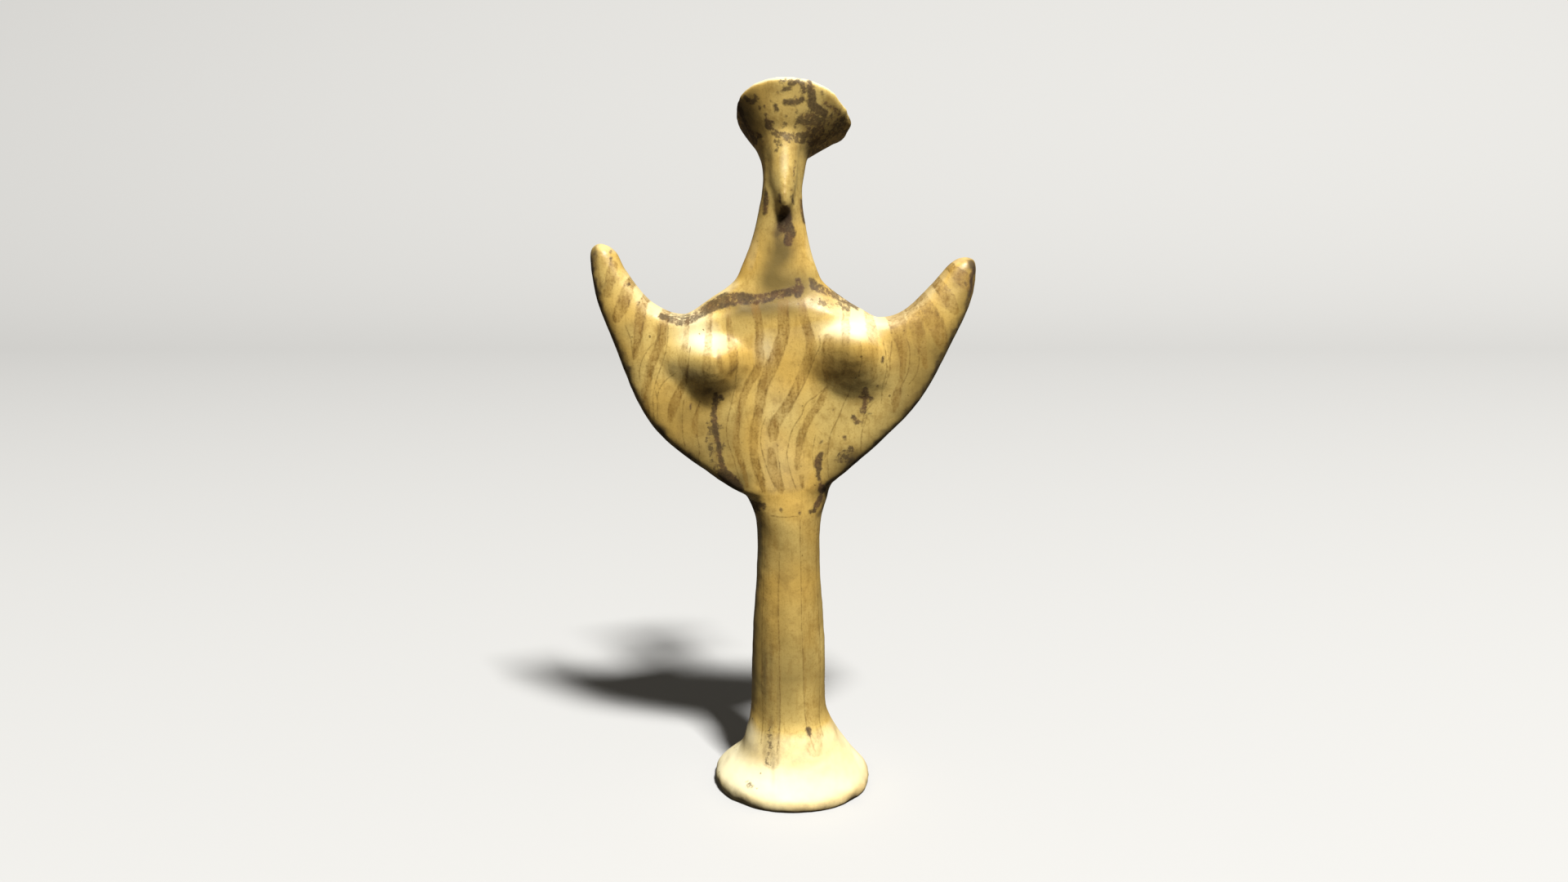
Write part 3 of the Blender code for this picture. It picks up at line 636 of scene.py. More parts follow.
def add_node(
    tree: Tree,
    kind: str,
    inputs: dict[str | int, object] | None = None,
    output: str | int = 0,
    **settings: object,
) -> Socket:
    """Adds a node to a material.

    Args:
        tree: The material's node tree.
        kind: Blender's name of the node's type, without its first words.
        inputs: For each input, by name or place, a value or the socket that feeds it.
        output: The output that is wanted.
        **settings: The node's own settings.

    Returns:
        The wanted output.
    """
    node = tree.nodes.new("ShaderNode" + kind)
    for name, value in settings.items():
        setattr(node, name, value)
    for name, value in (inputs or {}).items():
        if isinstance(value, bpy.types.NodeSocket):
            tree.links.new(value, node.inputs[name])
        else:
            node.inputs[name].default_value = value
    return node.outputs[output]


@dataclass(frozen=True)
class SlippedTerracotta:
    """Terracotta under a thin buff slip, smoothed with wet fingers and fired, then painted and worn.

    The smoothed slip gives a soft sheen on a matt body. The kiln gave it pale, warm and smoked clouds,
    and the fingers drew faint streaks along it. The brown paint sits on it as a thin, flaking film, and
    where that has gone a stain is left. Its tones and its brown earth also carry painted highlights and
    painted shade.
    """

    name: str = "slipped_terracotta"
    # The slip: thick, thin, worn down to the clay, and its darkest and palest tones, which hold the kiln's
    # smoke and bleaching and also painted shade and painted highlights.
    slip_pale: str = "#dabc6d"
    slip_warm: str = "#d0a954"
    slip_deep: str = "#a4803a"
    slip_smoked_and_shaded: str = "#7d6836"
    slip_bleached_and_lit: str = "#f5e7b8"
    # The paint: its stain, a hair line, what is left at a stripe's edges, and its film, thick and thin.
    stain: str = "#8b6620"
    line_brown: str = "#6e5120"
    edge_brown: str = "#5c4519"
    paint_dark: str = "#331e0c"
    paint_plum: str = "#5c3c1e"
    # Earth that burial left along edges and in smudges, and painted shade in hollows and creases and
    # under the breasts, nose and chin.
    soil_and_shade: str = "#2c1d0c"
    # Clouds from the fire, as wide as a thumb, and blotches where the slip dried.
    cloud_mm: float = 15.0
    mottle_mm: float = 2.4
    # Streaks of the smoothing fingers, as wide as the ridges of their skin, and five times as long.
    streak_mm: float = 0.75
    streak_shrink: tuple[float, float, float] = (1.0, 1.0, 0.2)
    # Flakes of paint. Levigated clay's grains and grit are under 0.1 mm, too fine for the render, so
    # both are drawn as coarse as they need to show.
    flake_mm: float = 0.6
    grain_mm: float = 0.38
    grit_mm: float = 0.22
    # The spacing of the cells that may each hold one dark speck.
    speck_mm: float = 2.0
    # Burnished by fingers alone, so between a gloss and bare earthenware's 0.8.
    roughness: float = 0.42
    ior: float = 1.5
    # How far grit, flakes and the paint's film stand out, in millimetres.
    grit_rise_mm: float = 0.012
    flake_rise_mm: float = 0.02
    film_rise_mm: float = 0.015

    def material(self) -> bpy.types.Material:
        """Makes the material, which reads the strokes that were measured on the mesh."""
        material = bpy.data.materials.new(self.name)
        material.use_nodes = True
        tree = material.node_tree
        surface = tree.nodes["Principled BSDF"]
        grains = self.grains(tree)
        colour = self.clay(tree, grains)
        colour, inside = self.worn_stripes(tree, grains, colour)
        colour = self.hair_lines(tree, grains, colour)
        colour, film = self.dark_paint(tree, grains, colour)
        colour, soil_and_shade = self.soiling_and_shading(tree, grains, colour)
        tree.links.new(colour, surface.inputs["Base Color"])
        tree.links.new(self.dullness(tree, grains, inside, film, soil_and_shade), surface.inputs["Roughness"])
        tree.links.new(self.relief(tree, grains, film), surface.inputs["Normal"])
        surface.inputs["IOR"].default_value = self.ior
        return material

    def grains(self, tree: Tree) -> Grains:
        """Adds the patterns that the whole finish shares, each at its own size.

        Args:
            tree: The material's node tree.

        Returns:
            The patterns by name, each about 0.5 on average.
        """
        place = add_node(tree, "TexCoord", output="Object")
        drawn_out = add_node(tree, "VectorMath", {0: place, 1: self.streak_shrink}, operation="MULTIPLY")
        patterns = {}
        for name, size, detail, vector in (
            ("cloud", self.cloud_mm, 2.0, place),
            ("mottle", self.mottle_mm, 5.0, place),
            ("streak", self.streak_mm, 3.0, drawn_out),
            ("flake", self.flake_mm, 3.0, place),
            ("grain", self.grain_mm, 2.0, place),
            ("grit", self.grit_mm, 2.0, place),
        ):
            inputs = {"Vector": vector, "Scale": 1.0 / (size * MM), "Detail": detail, "Roughness": 0.62}
            patterns[name] = add_node(tree, "TexNoise", inputs)
        return patterns

    def clay(self, tree: Tree, grains: Grains) -> Socket:
        """Colours the bare slip, with its clouds, streaks, tones and a few dark specks.

        The tones hold painted highlights and painted shade as well as the kiln's smoke and bleaching.

        Args:
            tree: The material's node tree.
            grains: The shared patterns.

        Returns:
            The colour.
        """
        colour = linear(self.slip_pale)
        for grain, low, high, most, tint in (
            ("cloud", 0.38, 0.62, 1.0, self.slip_warm),
            ("mottle", 0.48, 0.7, 0.6, self.slip_deep),
            ("streak", 0.5, 0.7, 0.4, self.slip_deep),
            ("flake", 0.56, 0.72, 0.3, self.slip_deep),
            ("grain", 0.5, 0.7, 0.3, self.slip_deep),
            ("grit", 0.68, 0.78, 0.35, self.edge_brown),
        ):
            band = {"Value": grains[grain], "From Min": low, "From Max": high, "To Max": most}
            share = add_node(tree, "MapRange", band, interpolation_type="SMOOTHSTEP")
            layers = {SHARE: share, UNDER: colour, OVER: linear(tint)}
            colour = add_node(tree, "Mix", layers, MIXED, data_type="RGBA")
        tone = add_node(tree, "Attribute", output="Fac", attribute_name="tone")
        # The darkest and palest tones are partly painted shade and painted highlights.
        for full, tint in ((-1.0, self.slip_smoked_and_shaded), (1.0, self.slip_bleached_and_lit)):
            share = add_node(tree, "MapRange", {"Value": tone, "From Max": full})
            layers = {SHARE: share, UNDER: colour, OVER: linear(tint)}
            colour = add_node(tree, "Mix", layers, MIXED, data_type="RGBA")
        place = add_node(tree, "TexCoord", output="Object")
        cells = {"Vector": place, "Scale": 1.0 / (self.speck_mm * MM)}
        dots = add_node(tree, "TexVoronoi", cells, "Distance")
        dots = add_node(tree, "Math", {0: grains["grain"], 1: 0.3, 2: dots}, operation="MULTIPLY_ADD")
        dots = add_node(tree, "MapRange", {"Value": dots, "From Min": 0.26, "From Max": 0.2})
        few = add_node(tree, "TexVoronoi", cells, "Color")
        few = add_node(tree, "MapRange", {"Value": few, "From Min": 0.58, "From Max": 0.66, "To Max": 0.7})
        dots = add_node(tree, "Math", {0: dots, 1: few}, operation="MULTIPLY")
        layers = {SHARE: dots, UNDER: colour, OVER: linear(self.edge_brown)}
        return add_node(tree, "Mix", layers, MIXED, data_type="RGBA")

    def worn_stripes(self, tree: Tree, grains: Grains, colour: Socket) -> tuple[Socket, Socket]:
        """Lays the stain of the worn stripes on the slip, with what paint is left at their edges.

        Args:
            tree: The material's node tree.
            grains: The shared patterns.
            colour: The colour below.

        Returns:
            The new colour, and how much each place is inside a stripe.
        """
        ragged = add_node(tree, "Attribute", output="Fac", attribute_name="worn_edge")
        strength = add_node(tree, "Attribute", output="Fac", attribute_name="worn_strength")
        for grain, reach in (("flake", 0.55), ("mottle", 0.7)):
            shift = add_node(tree, "Math", {0: grains[grain], 1: 0.5}, operation="SUBTRACT")
            ragged = add_node(tree, "Math", {0: shift, 1: reach, 2: ragged}, operation="MULTIPLY_ADD")
        band = {"Value": ragged, "From Min": 0.2, "From Max": -0.16}
        inside = add_node(tree, "MapRange", band, interpolation_type="SMOOTHSTEP")
        inside = add_node(tree, "Math", {0: inside, 1: strength}, operation="MULTIPLY")
        stain = inside
        for grain, low, high, least in (
            ("mottle", 0.38, 0.6, 0.66),
            ("streak", 0.38, 0.6, 0.58),
            ("grain", 0.36, 0.6, 0.72),
        ):
            band = {"Value": grains[grain], "From Min": low, "From Max": high, "To Min": least}
            patchy = add_node(tree, "MapRange", band)
            stain = add_node(tree, "Math", {0: stain, 1: patchy}, operation="MULTIPLY")
        layers = {SHARE: stain, UNDER: colour, OVER: linear(self.stain)}
        colour = add_node(tree, "Mix", layers, MIXED, data_type="RGBA")
        band = {"Value": ragged, "From Min": -0.4, "From Max": -0.05, "To Max": 0.8}
        border = add_node(tree, "MapRange", band, interpolation_type="SMOOTHSTEP")
        for grain, low, high, most in (("mottle", 0.42, 0.6, 0.8), ("streak", 0.4, 0.6, 0.8)):
            band = {"Value": grains[grain], "From Min": low, "From Max": high, "To Max": most}
            left = add_node(tree, "MapRange", band, interpolation_type="SMOOTHSTEP")
            border = add_node(tree, "Math", {0: border, 1: left}, operation="MULTIPLY")
        band = {"Value": grains["grain"], "From Min": 0.54, "From Max": 0.72, "To Max": 0.26}
        flecks = add_node(tree, "MapRange", band, interpolation_type="SMOOTHSTEP")
        for remains in (flecks, border):
            share = add_node(tree, "Math", {0: remains, 1: inside}, operation="MULTIPLY")
            layers = {SHARE: share, UNDER: colour, OVER: linear(self.edge_brown)}
            colour = add_node(tree, "Mix", layers, MIXED, data_type="RGBA")
        return colour, inside

    def hair_lines(self, tree: Tree, grains: Grains, colour: Socket) -> Socket:
        """Draws the hair lines, which waver and break.

        Args:
            tree: The material's node tree.
            grains: The shared patterns.
            colour: The colour below.

        Returns:
            The new colour.
        """
        side = add_node(tree, "Attribute", output="Fac", attribute_name="line_side")
        gap = add_node(tree, "Attribute", output="Fac", attribute_name="line_gap")
        shift = add_node(tree, "Math", {0: grains["mottle"], 1: 0.5}, operation="SUBTRACT")
        side = add_node(tree, "Math", {0: shift, 1: 0.5, 2: side}, operation="MULTIPLY_ADD")
        side = add_node(tree, "Math", {0: side}, operation="ABSOLUTE")
        band = {"Value": side, "From Min": HAIR_MM, "From Max": 0.0}
        hair = add_node(tree, "MapRange", band, interpolation_type="SMOOTHSTEP")
        near = add_node(tree, "MapRange", {"Value": gap, "From Min": 0.45, "From Max": 0.3})
        band = {"Value": grains["flake"], "From Min": 0.38, "From Max": 0.6, "To Min": 0.2, "To Max": 0.6}
        for limit in (near, add_node(tree, "MapRange", band)):
            hair = add_node(tree, "Math", {0: hair, 1: limit}, operation="MULTIPLY")
        layers = {SHARE: hair, UNDER: colour, OVER: linear(self.line_brown)}
        return add_node(tree, "Mix", layers, MIXED, data_type="RGBA")

    def dark_paint(self, tree: Tree, grains: Grains, colour: Socket) -> tuple[Socket, Socket]:
        """Lays on the dark paint, which flakes at its edges and in patches.

        Args:
            tree: The material's node tree.
            grains: The shared patterns.
            colour: The colour below.

        Returns:
            The new colour, and where the film of paint is.
        """
        ragged = add_node(tree, "Attribute", output="Fac", attribute_name="dark_edge")
        kept = add_node(tree, "Attribute", output="Fac", attribute_name="dark_kept")
        lost = add_node(tree, "MapRange", {"Value": kept, "To Min": 1.5, "To Max": 0.5})
        for grain in ("flake", "mottle"):
            shift = add_node(tree, "Math", {0: grains[grain], 1: 0.5}, operation="SUBTRACT")
            ragged = add_node(tree, "Math", {0: shift, 1: lost, 2: ragged}, operation="MULTIPLY_ADD")
        band = {"Value": ragged, "From Min": 0.2, "From Max": -0.22, "To Max": 0.92}
        film = add_node(tree, "MapRange", band, interpolation_type="SMOOTHSTEP")
        patches = add_node(tree, "Math", {0: grains["flake"], 1: grains["mottle"]}, operation="ADD")
        limit = add_node(tree, "MapRange", {"Value": kept, "To Min": 0.86, "To Max": 1.3})
        patches = add_node(tree, "Math", {0: limit, 1: patches}, operation="SUBTRACT")
        band = {"Value": patches, "From Min": -0.12, "From Max": 0.16, "To Min": 0.15}
        flaking = add_node(tree, "MapRange", band, interpolation_type="SMOOTHSTEP")
        band = {"Value": grains["grain"], "From Min": 0.66, "From Max": 0.42, "To Min": 0.86}
        pitted = add_node(tree, "MapRange", band, interpolation_type="SMOOTHSTEP")
        opacity = add_node(tree, "MapRange", {"Value": kept, "To Min": 0.7})
        for limit in (flaking, pitted, opacity):
            film = add_node(tree, "Math", {0: film, 1: limit}, operation="MULTIPLY")
        band = {"Value": grains["mottle"], "From Min": 0.42, "From Max": 0.62, "To Max": 0.8}
        thin = add_node(tree, "MapRange", band, interpolation_type="SMOOTHSTEP")
        layers = {SHARE: thin, UNDER: linear(self.paint_dark), OVER: linear(self.paint_plum)}
        paint = add_node(tree, "Mix", layers, MIXED, data_type="RGBA")
        layers = {SHARE: film, UNDER: colour, OVER: paint}
        return add_node(tree, "Mix", layers, MIXED, data_type="RGBA"), film

    def soiling_and_shading(self, tree: Tree, grains: Grains, colour: Socket) -> tuple[Socket, Socket]:
        """Rubs in the brown earth and painted shade, which hold better in some blotches than in others.

        Args:
            tree: The material's node tree.
            grains: The shared patterns.
            colour: The colour below.

        Returns:
            The new colour, and how much earth and painted shade there is.
        """
        soil_and_shade = add_node(tree, "Attribute", output="Fac", attribute_name="soil_and_shade")
        band = {"Value": grains["mottle"], "From Min": 0.3, "From Max": 0.6, "To Min": 0.4}
        patchy = add_node(tree, "MapRange", band)
        soil_and_shade = add_node(tree, "Math", {0: soil_and_shade, 1: patchy}, operation="MULTIPLY", use_clamp=True)
        layers = {SHARE: soil_and_shade, UNDER: colour, OVER: linear(self.soil_and_shade)}
        return add_node(tree, "Mix", layers, MIXED, data_type="RGBA"), soil_and_shade

    def dullness(self, tree: Tree, grains: Grains, inside: Socket, film: Socket, soil_and_shade: Socket) -> Socket:
        """Roughens the sheen under stain, paint, earth and painted shade, and where it is painted paler.

        Args:
            tree: The material's node tree.
            grains: The shared patterns.
            inside: How much each place is inside a worn stripe.
            film: Where the film of dark paint is.
            soil_and_shade: How much soil there is.

        Returns:
            The roughness.
        """
        band = {"Value": grains["mottle"], "From Min": 0.3, "From Max": 0.7}
        band |= {"To Min": self.roughness - 0.06, "To Max": self.roughness + 0.08}
        rough = add_node(tree, "MapRange", band)
        tone = add_node(tree, "Attribute", output="Fac", attribute_name="tone")
        paler_and_lit = add_node(tree, "Math", {0: tone, 1: 0.0}, operation="ADD", use_clamp=True)
        for cover, dulling in ((inside, 0.15), (film, 0.3), (soil_and_shade, 0.3), (paler_and_lit, 0.35)):
            rough = add_node(tree, "Math", {0: cover, 1: dulling, 2: rough}, operation="MULTIPLY_ADD")
        return rough

    def relief(self, tree: Tree, grains: Grains, film: Socket) -> Socket:
        """Raises grit, flakes and the paint's film by hundredths of a millimetre.

        Args:
            tree: The material's node tree.
            grains: The shared patterns.
            film: Where the film of dark paint is.

        Returns:
            The bumped normal.
        """
        height = add_node(tree, "Math", {0: grains["grit"], 1: self.grit_rise_mm}, operation="MULTIPLY")
        for part, rise in ((grains["flake"], self.flake_rise_mm), (film, self.film_rise_mm)):
            height = add_node(tree, "Math", {0: part, 1: rise, 2: height}, operation="MULTIPLY_ADD")
        return add_node(tree, "Bump", {"Strength": 1.0, "Distance": MM, "Height": height})


@dataclass(frozen=True)
class PaintedBoard:
    """Matt emulsion on board, rolled on, which gives the studio's even pale ground."""

    name: str = "painted_board"
    colour: str = "#bcbbb8"
    roughness: float = 0.9

    def material(self) -> bpy.types.Material:
        """Makes the material."""
        material = bpy.data.materials.new(self.name)
        material.use_nodes = True
        surface = material.node_tree.nodes["Principled BSDF"]
        surface.inputs["Base Color"].default_value = linear(self.colour)
        surface.inputs["Roughness"].default_value = self.roughness
        return material


@dataclass(frozen=True)
class WeatheringAndPaintedLight:
    """What the kiln, use and the ground left on the slip, and painted highlights and painted shade.

    A dark line and a darker haze, and painted shade, follow the outer edge of the torso and arms, and
    fall off where the surface turns sideways.
    """

    edge_line: Fade = Fade(1.3, 0.5, 0.6)
    edge_haze: Fade = Fade(2.6, 0.3, 0.25)
    sideways_share: float = 0.3
    facing: Fade = Fade(0.1, 0.5, 0.7)
    blotches: Unevenness = Unevenness(1.0, 3.0, 30.0)
    chips: Unevenness = Unevenness(0.8, 1.1, 33.0)
    foot: Fade = Fade(1.7, 0.3, 0.55)
    underside: Fade = Fade(0.4, 0.05, 0.3)
    # Painted shade in hollows and creases.
    hollow: Fade = Fade(0.015, 0.08, 0.35)
    most_soil_and_shade: float = 0.9
    fire: Unevenness = Unevenness(0.25, 9.0, 60.0)
    shade: float = 0.25
    shade_right: Fade = Fade(0.0, 6.0, 0.3)
    shade_mm: float = 3.0
    shade_more_mm: float = 2.0
    shade_above: float = 0.6
    # Painted highlight on what faces up and on the headdress's rim, painted shade on what faces down.
    facing_up: Fade = Fade(0.25, 0.9, 0.55)
    facing_down: Fade = Fade(0.1, 0.7, 0.2)
    rim_up: Fade = Fade(0.1, 0.6, 0.7)
    rim_height: Fade = Fade(104.0, 107.0)

    def soil_and_shade(
        self, points: np.ndarray, normals: np.ndarray, gap: np.ndarray, hollows: np.ndarray
    ) -> np.ndarray:
        """Says how much brown earth, wear and painted shade each point holds.

        The painted shade darkens hollows and creases, and some of the smudges are painted shade too.

        Args:
            points: The places of the points in millimetres.
            normals: Their normals.
            gap: How far they are from the outer edge of the torso and arms.
            hollows: How hollow the surface is there.

        Returns:
            Shares from 0 to most_soil_and_shade.
        """
        up = points[:, 2]
        blotches = self.blotches.at(points)
        edges = self.edge_line.at(gap + 0.7 * blotches + self.chips.at(points))
        edges += self.edge_haze.at(gap + 1.2 * blotches)
        edges *= self.sideways_share + self.facing.at(np.abs(normals[:, 1]) + 0.25 * blotches)
        radius = np.hypot(points[:, 0], points[:, 1])
        foot = self.foot.at(up + 0.8 * blotches) * LIP.at(radius)
        kept = edges + foot + self.underside.at(up) + self.hollow.at(hollows)
        for patch in SMUDGES_AND_SHADE:
            kept += patch.share(points)
        return np.clip(kept, 0.0, self.most_soil_and_shade)

    def tone(self, points: np.ndarray, normals: np.ndarray, gap: np.ndarray) -> np.ndarray:
        """Says how much paler or darker the slip is painted than its plain colour.

        What faces up and the headdress's upper rim get a painted highlight, and what faces down and the
        outer edges of the torso and arms get painted shade, on top of the tones by height, the fire's
        clouds and the patches.

        Args:
            points: The places of the points in millimetres.
            normals: Their normals.
            gap: How far they are from the outer edge of the torso and arms.

        Returns:
            Towards 1 where it is paler, and towards -1 where it is darker.
        """
        up = points[:, 2]
        slope = normals[:, 2]
        tone = np.interp(up, *zip(*HEIGHT_TONES)) + self.fire.at(points)
        lower = BELLY.at(up)
        edge = smoothstep(self.shade_mm + self.shade_more_mm * lower, 0.0, gap) * HEM.at(up)
        edge *= self.sideways_share + self.facing.at(np.abs(normals[:, 1]))
        shade = self.shade + self.shade_right.at(points[:, 0])
        tone -= shade * (self.shade_above + (1.0 - self.shade_above) * lower) * edge
        tone += self.facing_up.at(slope) - self.facing_down.at(-slope)
        tone += self.rim_up.at(slope) * self.rim_height.at(up)
        for patch in TONES_AND_PAINTED_LIGHT:
            tone += patch.share(points)
        return tone


@dataclass
class Figurine:
    """The clay figure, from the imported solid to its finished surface."""

    node: str = "figurine"
    body: str = "root"
    slot: str = "buff_clay"
    name: str = "psi_figurine"
    spacing_mm: float = 0.325
    weld_mm: float = 0.01
    rubs: int = 12
    rub_in: float = 0.6
    rub_out: float = -0.62
    hollow_rubs: int = 8
    crown_share: float = 0.18
    crown_mm: float = 4.0
    crown_more_mm: float = 4.5
    stem_foot: Fade = Fade(6.0, 12.0)
    stem_head: Fade = Fade(50.0, 44.0)
    lip_height: Fade = Fade(4.0, 1.0)
    waist_mm: float = 44.0
    torso_foot_mm: float = 47.0
    arm_tip_mm: float = 92.0
    shoulder_mm: float = 81.0
    neck_half_mm: float = 14.0
    edge_facing: float = 0.12
    edge_outward: float = 0.35
    front_facing: float = 0.1
    stem_top_mm: float = 47.6
    stem_side_mm: float = -0.7
    stem_radius_mm: float = 5.7
    strokes: tuple[Stroke, ...] = STROKES
    back: BackStripes = BackStripes()
    weathering_and_light: WeatheringAndPaintedLight = WeatheringAndPaintedLight()
    finish: SlippedTerracotta = SlippedTerracotta()

    def fine_copy(self) -> bpy.types.Object:
        """Copies the solid as a fine, even mesh."""
        shape = bmesh.new()
        shape.from_mesh(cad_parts[self.node].data)
        bmesh.ops.remove_doubles(shape, verts=shape.verts, dist=self.weld_mm * MM)
        rough = bpy.data.meshes.new("rough_clay")
        shape.to_mesh(rough)
        shape.free()
        lump = bpy.data.objects.new("rough_clay", rough)
        bpy.context.scene.collection.objects.link(lump)
        remesh = lump.modifiers.new("even", "REMESH")
        remesh.mode = "VOXEL"
        remesh.voxel_size = self.spacing_mm * MM
        graph = bpy.context.evaluated_depsgraph_get()
        mesh = bpy.data.meshes.new_from_object(lump.evaluated_get(graph))
        bpy.data.objects.remove(lump)
        bpy.data.meshes.remove(rough)
        mesh.name = self.name
        piece = bpy.data.objects.new(self.name, mesh)
        bpy.context.scene.collection.objects.link(piece)
        return piece

    def surface(self, mesh: bpy.types.Mesh) -> tuple[np.ndarray, np.ndarray]:
        """Reads the mesh.

        Args:
            mesh: The mesh.

        Returns:
            The places of its points in millimetres, and their normals.
        """
        points = np.empty(len(mesh.vertices) * 3)
        normals = np.empty(len(mesh.vertices) * 3)
        mesh.vertices.foreach_get("co", points)
        mesh.vertices.foreach_get("normal", normals)
        return points.reshape(-1, 3) / MM, normals.reshape(-1, 3)

    def move(self, mesh: bpy.types.Mesh, points: np.ndarray) -> None:
        """Moves the mesh's points to new places in millimetres."""
        mesh.vertices.foreach_set("co", (points * MM).ravel())
        mesh.update()

    def blurred(self, mesh: bpy.types.Mesh, points: np.ndarray, factors: tuple[float, ...]) -> np.ndarray:
        """Moves points towards the middle of their neighbours, again and again.

        Args:
            mesh: The mesh that says which points are neighbours.
            points: The places of its points.
            factors: How far to move each time, as a share of the way. Under zero moves them away.

        Returns:
            The moved points.
        """
        edges = np.empty(len(mesh.edges) * 2, int)
        mesh.edges.foreach_get("vertices", edges)
        one, other = edges.reshape(-1, 2).T
        near = np.concatenate([other, one])
        centre = np.concatenate([one, other])
        count = np.bincount(centre, minlength=len(points))
        for factor in factors:
            middle = [np.bincount(centre, points[near, axis], len(points)) / count for axis in range(3)]
            points = points + factor * (np.column_stack(middle) - points)
        return points

    def rub(self, mesh: bpy.types.Mesh) -> None:
        """Rubs the solid's facets away without shrinking it."""
        points, _ = self.surface(mesh)
        self.move(mesh, self.blurred(mesh, points, (self.rub_in, self.rub_out) * self.rubs))

    def model(self, mesh: bpy.types.Mesh) -> None:
        """Crowns the torso, and gives the surface the unevenness of a thing made by hand."""
        points, normals = self.surface(mesh)
        up = points[:, 2]
        reach = self.crown_mm + self.crown_more_mm * BELLY.at(up)
        slope = np.clip(1.0 - self.edge_gap(points, normals) / reach, 0.0, 1.0) * HEM.at(up)
        points[:, 1] *= 1.0 - self.crown_share * slope**2
        rise = sum(marks.at(points) for marks in HAND_MARKS)
        rise += self.stem_head.at(up) * self.stem_foot.at(up) * STEM_MARKS.at(points)
        lip = self.lip_height.at(up) * LIP.at(np.hypot(points[:, 0], points[:, 1]))
        rise += lip * LIP_MARKS.at(points)
        points = points + normals * rise[:, None]
        for dent in DENTS:
            points = dent.press(points)
        points[:, 2] = np.maximum(points[:, 2], 0.0)
        points[:, 2] += lip * np.maximum(LIP_NICKS.at(points * (1.0, 1.0, 0.0)), 0.0)
        mesh.shade_smooth()
        self.move(mesh, points)

    def hollows(self, mesh: bpy.types.Mesh, points: np.ndarray, normals: np.ndarray) -> np.ndarray:
        """Measures how hollow the surface is at each point, over about a millimetre.

        Args:
            mesh: The mesh.
            points: The places of its points in millimetres.
            normals: Their normals.

        Returns:
            Over zero in a hollow and under zero on a ridge.
        """
        blurred = self.blurred(mesh, points, (0.5,) * self.hollow_rubs)
        return np.einsum("ij,ij->i", blurred - points, normals)

    def edge_gap(self, points: np.ndarray, normals: np.ndarray) -> np.ndarray:
        """Measures how far each point is from the outer edge of the torso and arms, seen from the front.

        Args:
            points: The places of the points in millimetres.
            normals: Their normals.

        Returns:
            The distances in millimetres, which are large on the stem and base.
        """
        across, _, up = points.T
        outward = normals[:, 0] * np.sign(across - TORSO_MIDDLE_MM) - 0.7 * normals[:, 2]
        neck = (up > self.shoulder_mm) & (np.abs(across - TORSO_MIDDLE_MM) < self.neck_half_mm)
        height = (up > self.torso_foot_mm) & (up < self.arm_tip_mm)
        edge = (np.abs(normals[:, 1]) < self.edge_facing) & (outward > self.edge_outward) & height & ~neck
        chosen = np.flatnonzero(edge)
        tree = kdtree.KDTree(len(chosen))
        for index in chosen:
            tree.insert((across[index], 0.0, up[index]), int(index))
        tree.balance()
        gaps = np.full(len(points), FAR_MM)
        for index in np.flatnonzero(up > self.waist_mm):
            gaps[index] = tree.find((across[index], 0.0, up[index]))[2]
        return gaps

    def paint(self, mesh: bpy.types.Mesh) -> None:
        """Measures the strokes on the mesh, and keeps what was measured with its points."""
        points, normals = self.surface(mesh)
        across, depth, up = points.T
        front = normals[:, 1] < self.front_facing
        angle = np.arctan2(across - self.stem_side_mm, -depth)
        flat = np.column_stack([across, up])
        curled = np.column_stack([angle * self.stem_radius_mm, up])
        body = up > self.waist_mm
        where = {
            Side.FRONT: body & front,
            Side.BACK: body & ~front,
            Side.ROUND: body,
            Side.STEM: up < self.stem_top_mm,
        }
        kept = {name: np.zeros(len(points)) for name in ("worn_strength", "dark_kept")}
        for name in ("worn_edge", "line_side", "line_gap", "dark_edge"):
            kept[name] = np.full(len(points), UNPAINTED_MM)
        gap = self.edge_gap(points, normals)
        # The earth also holds painted shade, and the tones painted highlights and painted shade.
        kept["soil_and_shade"] = self.weathering_and_light.soil_and_shade(points, normals, gap, self.hollows(mesh, points, normals))
        kept["tone"] = self.weathering_and_light.tone(points, normals, gap)
        for stroke in self.strokes + self.back.strokes():
            chosen = np.flatnonzero(where[stroke.side])
            edge, middle = stroke.reach((curled if stroke.side is Side.STEM else flat)[chosen])
            if stroke.paint is Paint.LINE:
                nearer = np.abs(middle) < kept["line_gap"][chosen]
                kept["line_side"][chosen[nearer]] = middle[nearer]
                kept["line_gap"][chosen[nearer]] = np.abs(middle[nearer])
                continue
            worn_away = stroke.paint is Paint.WORN
            name, share = ("worn_edge", "worn_strength") if worn_away else ("dark_edge", "dark_kept")
            nearer = edge < kept[name][chosen]
            kept[name][chosen[nearer]] = edge[nearer]
            kept[share][chosen[nearer]] = stroke.strength
        for name, values in kept.items():
            mesh.attributes.new(name, "FLOAT", "POINT").data.foreach_set("value", values.astype(np.float32))

    def build(self) -> bpy.types.Object:
        """Builds the figure and puts it in the place of the plain solid."""
        piece = self.fine_copy()
        self.rub(piece.data)
        self.model(piece.data)
        self.paint(piece.data)
        piece.data.materials.clear()
        piece.data.materials.append(self.finish.material())
        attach(piece, self.body)
        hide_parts(self.node)
        return piece


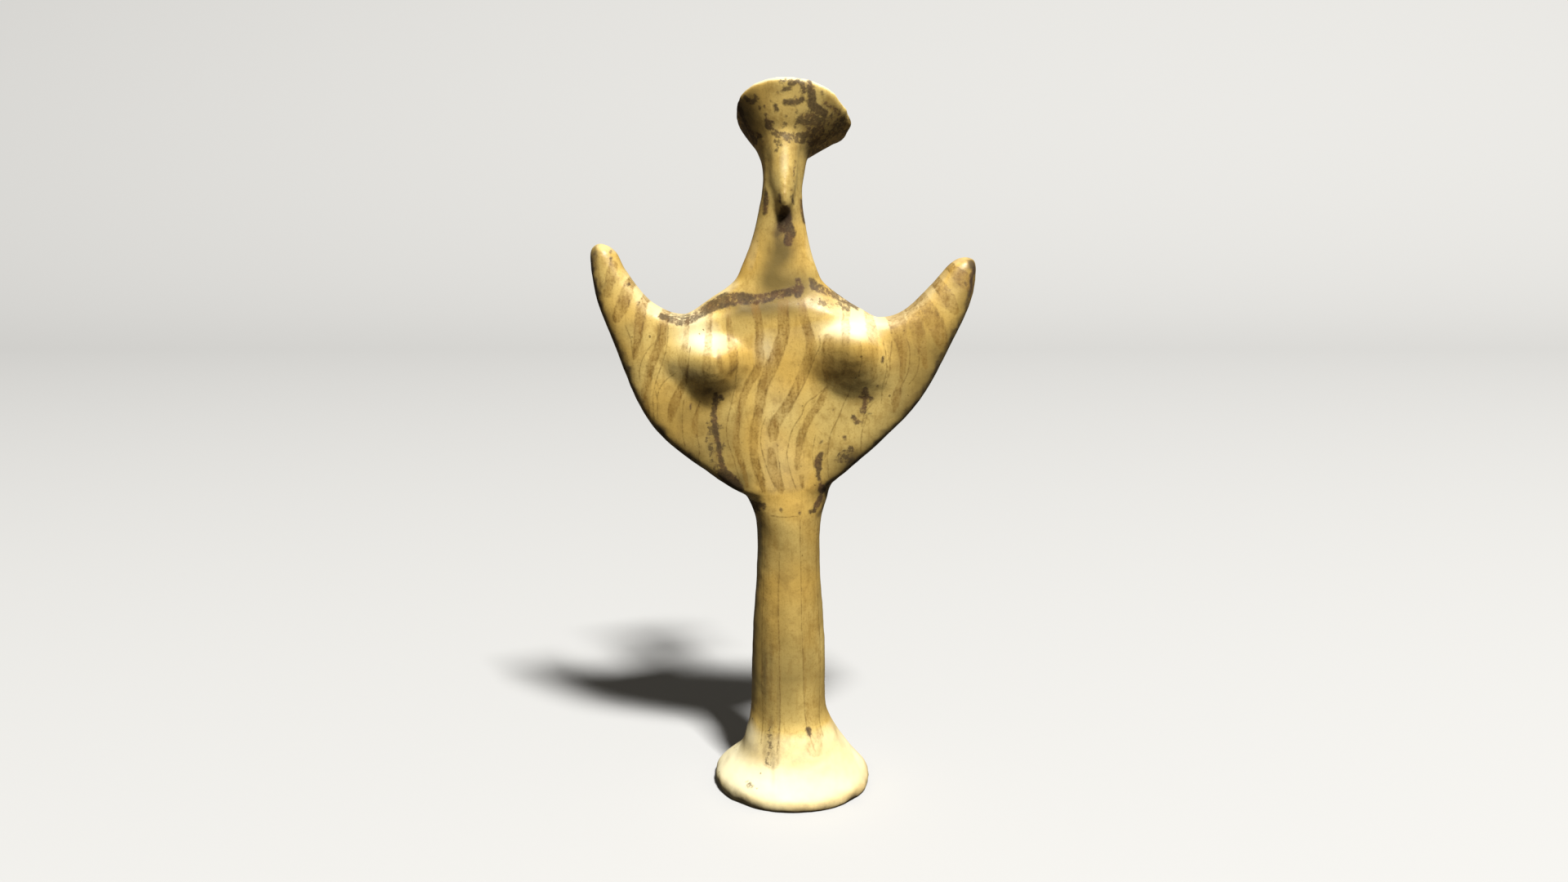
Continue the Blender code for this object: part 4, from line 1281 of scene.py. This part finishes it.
@dataclass
class Studio:
    """A pale ground that sweeps up behind the figure, soft light and the camera, in metres."""

    board: PaintedBoard = PaintedBoard()
    ground_half: float = 2.5
    sweep_start: float = 0.5
    sweep_radius: float = 0.5
    sweep_steps: int = 16
    wall_height: float = 2.0
    key_aim: tuple[float, float, float] = (0.0, 0.0, 0.06)
    key_way: tuple[float, float, float] = (0.262, -0.585, 1.0)
    key_distance: float = 3.0
    key_size: float = 0.4
    key_watts: float = 184.0
    sky: str = "#f5efe4"
    sky_strength: float = 0.09
    camera_place: tuple[float, float, float] = (-0.00145, -0.21479, 0.1049)
    camera_tilt_degrees: float = 12.21
    lens_mm: float = 31.43
    sensor_mm: float = 36.0
    nearest: float = 0.01

    def ground(self) -> bpy.types.Object:
        """Lays the floor, whose far edge curves up into a wall."""
        profile = [(-self.ground_half, 0.0), (self.sweep_start, 0.0)]
        for step in range(1, self.sweep_steps + 1):
            turn = 0.5 * math.pi * step / self.sweep_steps
            back = self.sweep_start + self.sweep_radius * math.sin(turn)
            profile.append((back, self.sweep_radius * (1.0 - math.cos(turn))))
        profile.append((self.sweep_start + self.sweep_radius, self.wall_height))
        shape = bmesh.new()
        sides = (-self.ground_half, self.ground_half)
        rows = [[shape.verts.new((side, back, up)) for side in sides] for back, up in profile]
        for near, far in zip(rows, rows[1:]):
            shape.faces.new((near[0], near[1], far[1], far[0]))
        mesh = bpy.data.meshes.new("studio_ground")
        shape.to_mesh(mesh)
        shape.free()
        mesh.shade_smooth()
        mesh.materials.append(self.board.material())
        ground = bpy.data.objects.new("studio_ground", mesh)
        # It throws no light back on the figure, whose undersides stay as dark as in the photograph.
        ground.visible_diffuse = False
        ground.visible_glossy = False
        bpy.context.scene.collection.objects.link(ground)
        return ground

    def key_light(self) -> bpy.types.Object:
        """Hangs a soft square light in front of the figure, above it and to its right."""
        lamp = bpy.data.lights.new("key_light", "AREA")
        lamp.size = self.key_size
        lamp.energy = self.key_watts
        light = bpy.data.objects.new("key_light", lamp)
        way = Vector(self.key_way).normalized()
        light.location = Vector(self.key_aim) + way * self.key_distance
        light.rotation_euler = (-way).to_track_quat("-Z", "Y").to_euler()
        bpy.context.scene.collection.objects.link(light)
        return light

    def camera(self) -> bpy.types.Object:
        """Sets up the camera at the photograph's viewing angle."""
        data = bpy.data.cameras.new("camera")
        data.lens = self.lens_mm
        data.sensor_width = self.sensor_mm
        data.clip_start = self.nearest
        camera = bpy.data.objects.new("camera", data)
        camera.location = self.camera_place
        camera.rotation_euler = (math.radians(90.0 - self.camera_tilt_degrees), 0.0, 0.0)
        bpy.context.scene.collection.objects.link(camera)
        bpy.context.scene.camera = camera
        return camera

    def build(self) -> None:
        """Sets up everything round the figure."""
        self.ground()
        self.key_light()
        self.camera()
        world = bpy.data.worlds.new("studio")
        world.use_nodes = True
        background = world.node_tree.nodes["Background"]
        background.inputs["Color"].default_value = linear(self.sky)
        background.inputs["Strength"].default_value = self.sky_strength
        bpy.context.scene.world = world
        bpy.context.scene.view_settings.view_transform = "Standard"


def main() -> None:
    """Builds the figurine and the studio."""
    logging.basicConfig(level=logging.INFO, format="%(message)s")
    Studio().build()
    piece = Figurine().build()
    LOG.info("%s: %d points, %d faces", piece.name, len(piece.data.vertices), len(piece.data.polygons))


if __name__ == "__main__":
    main()
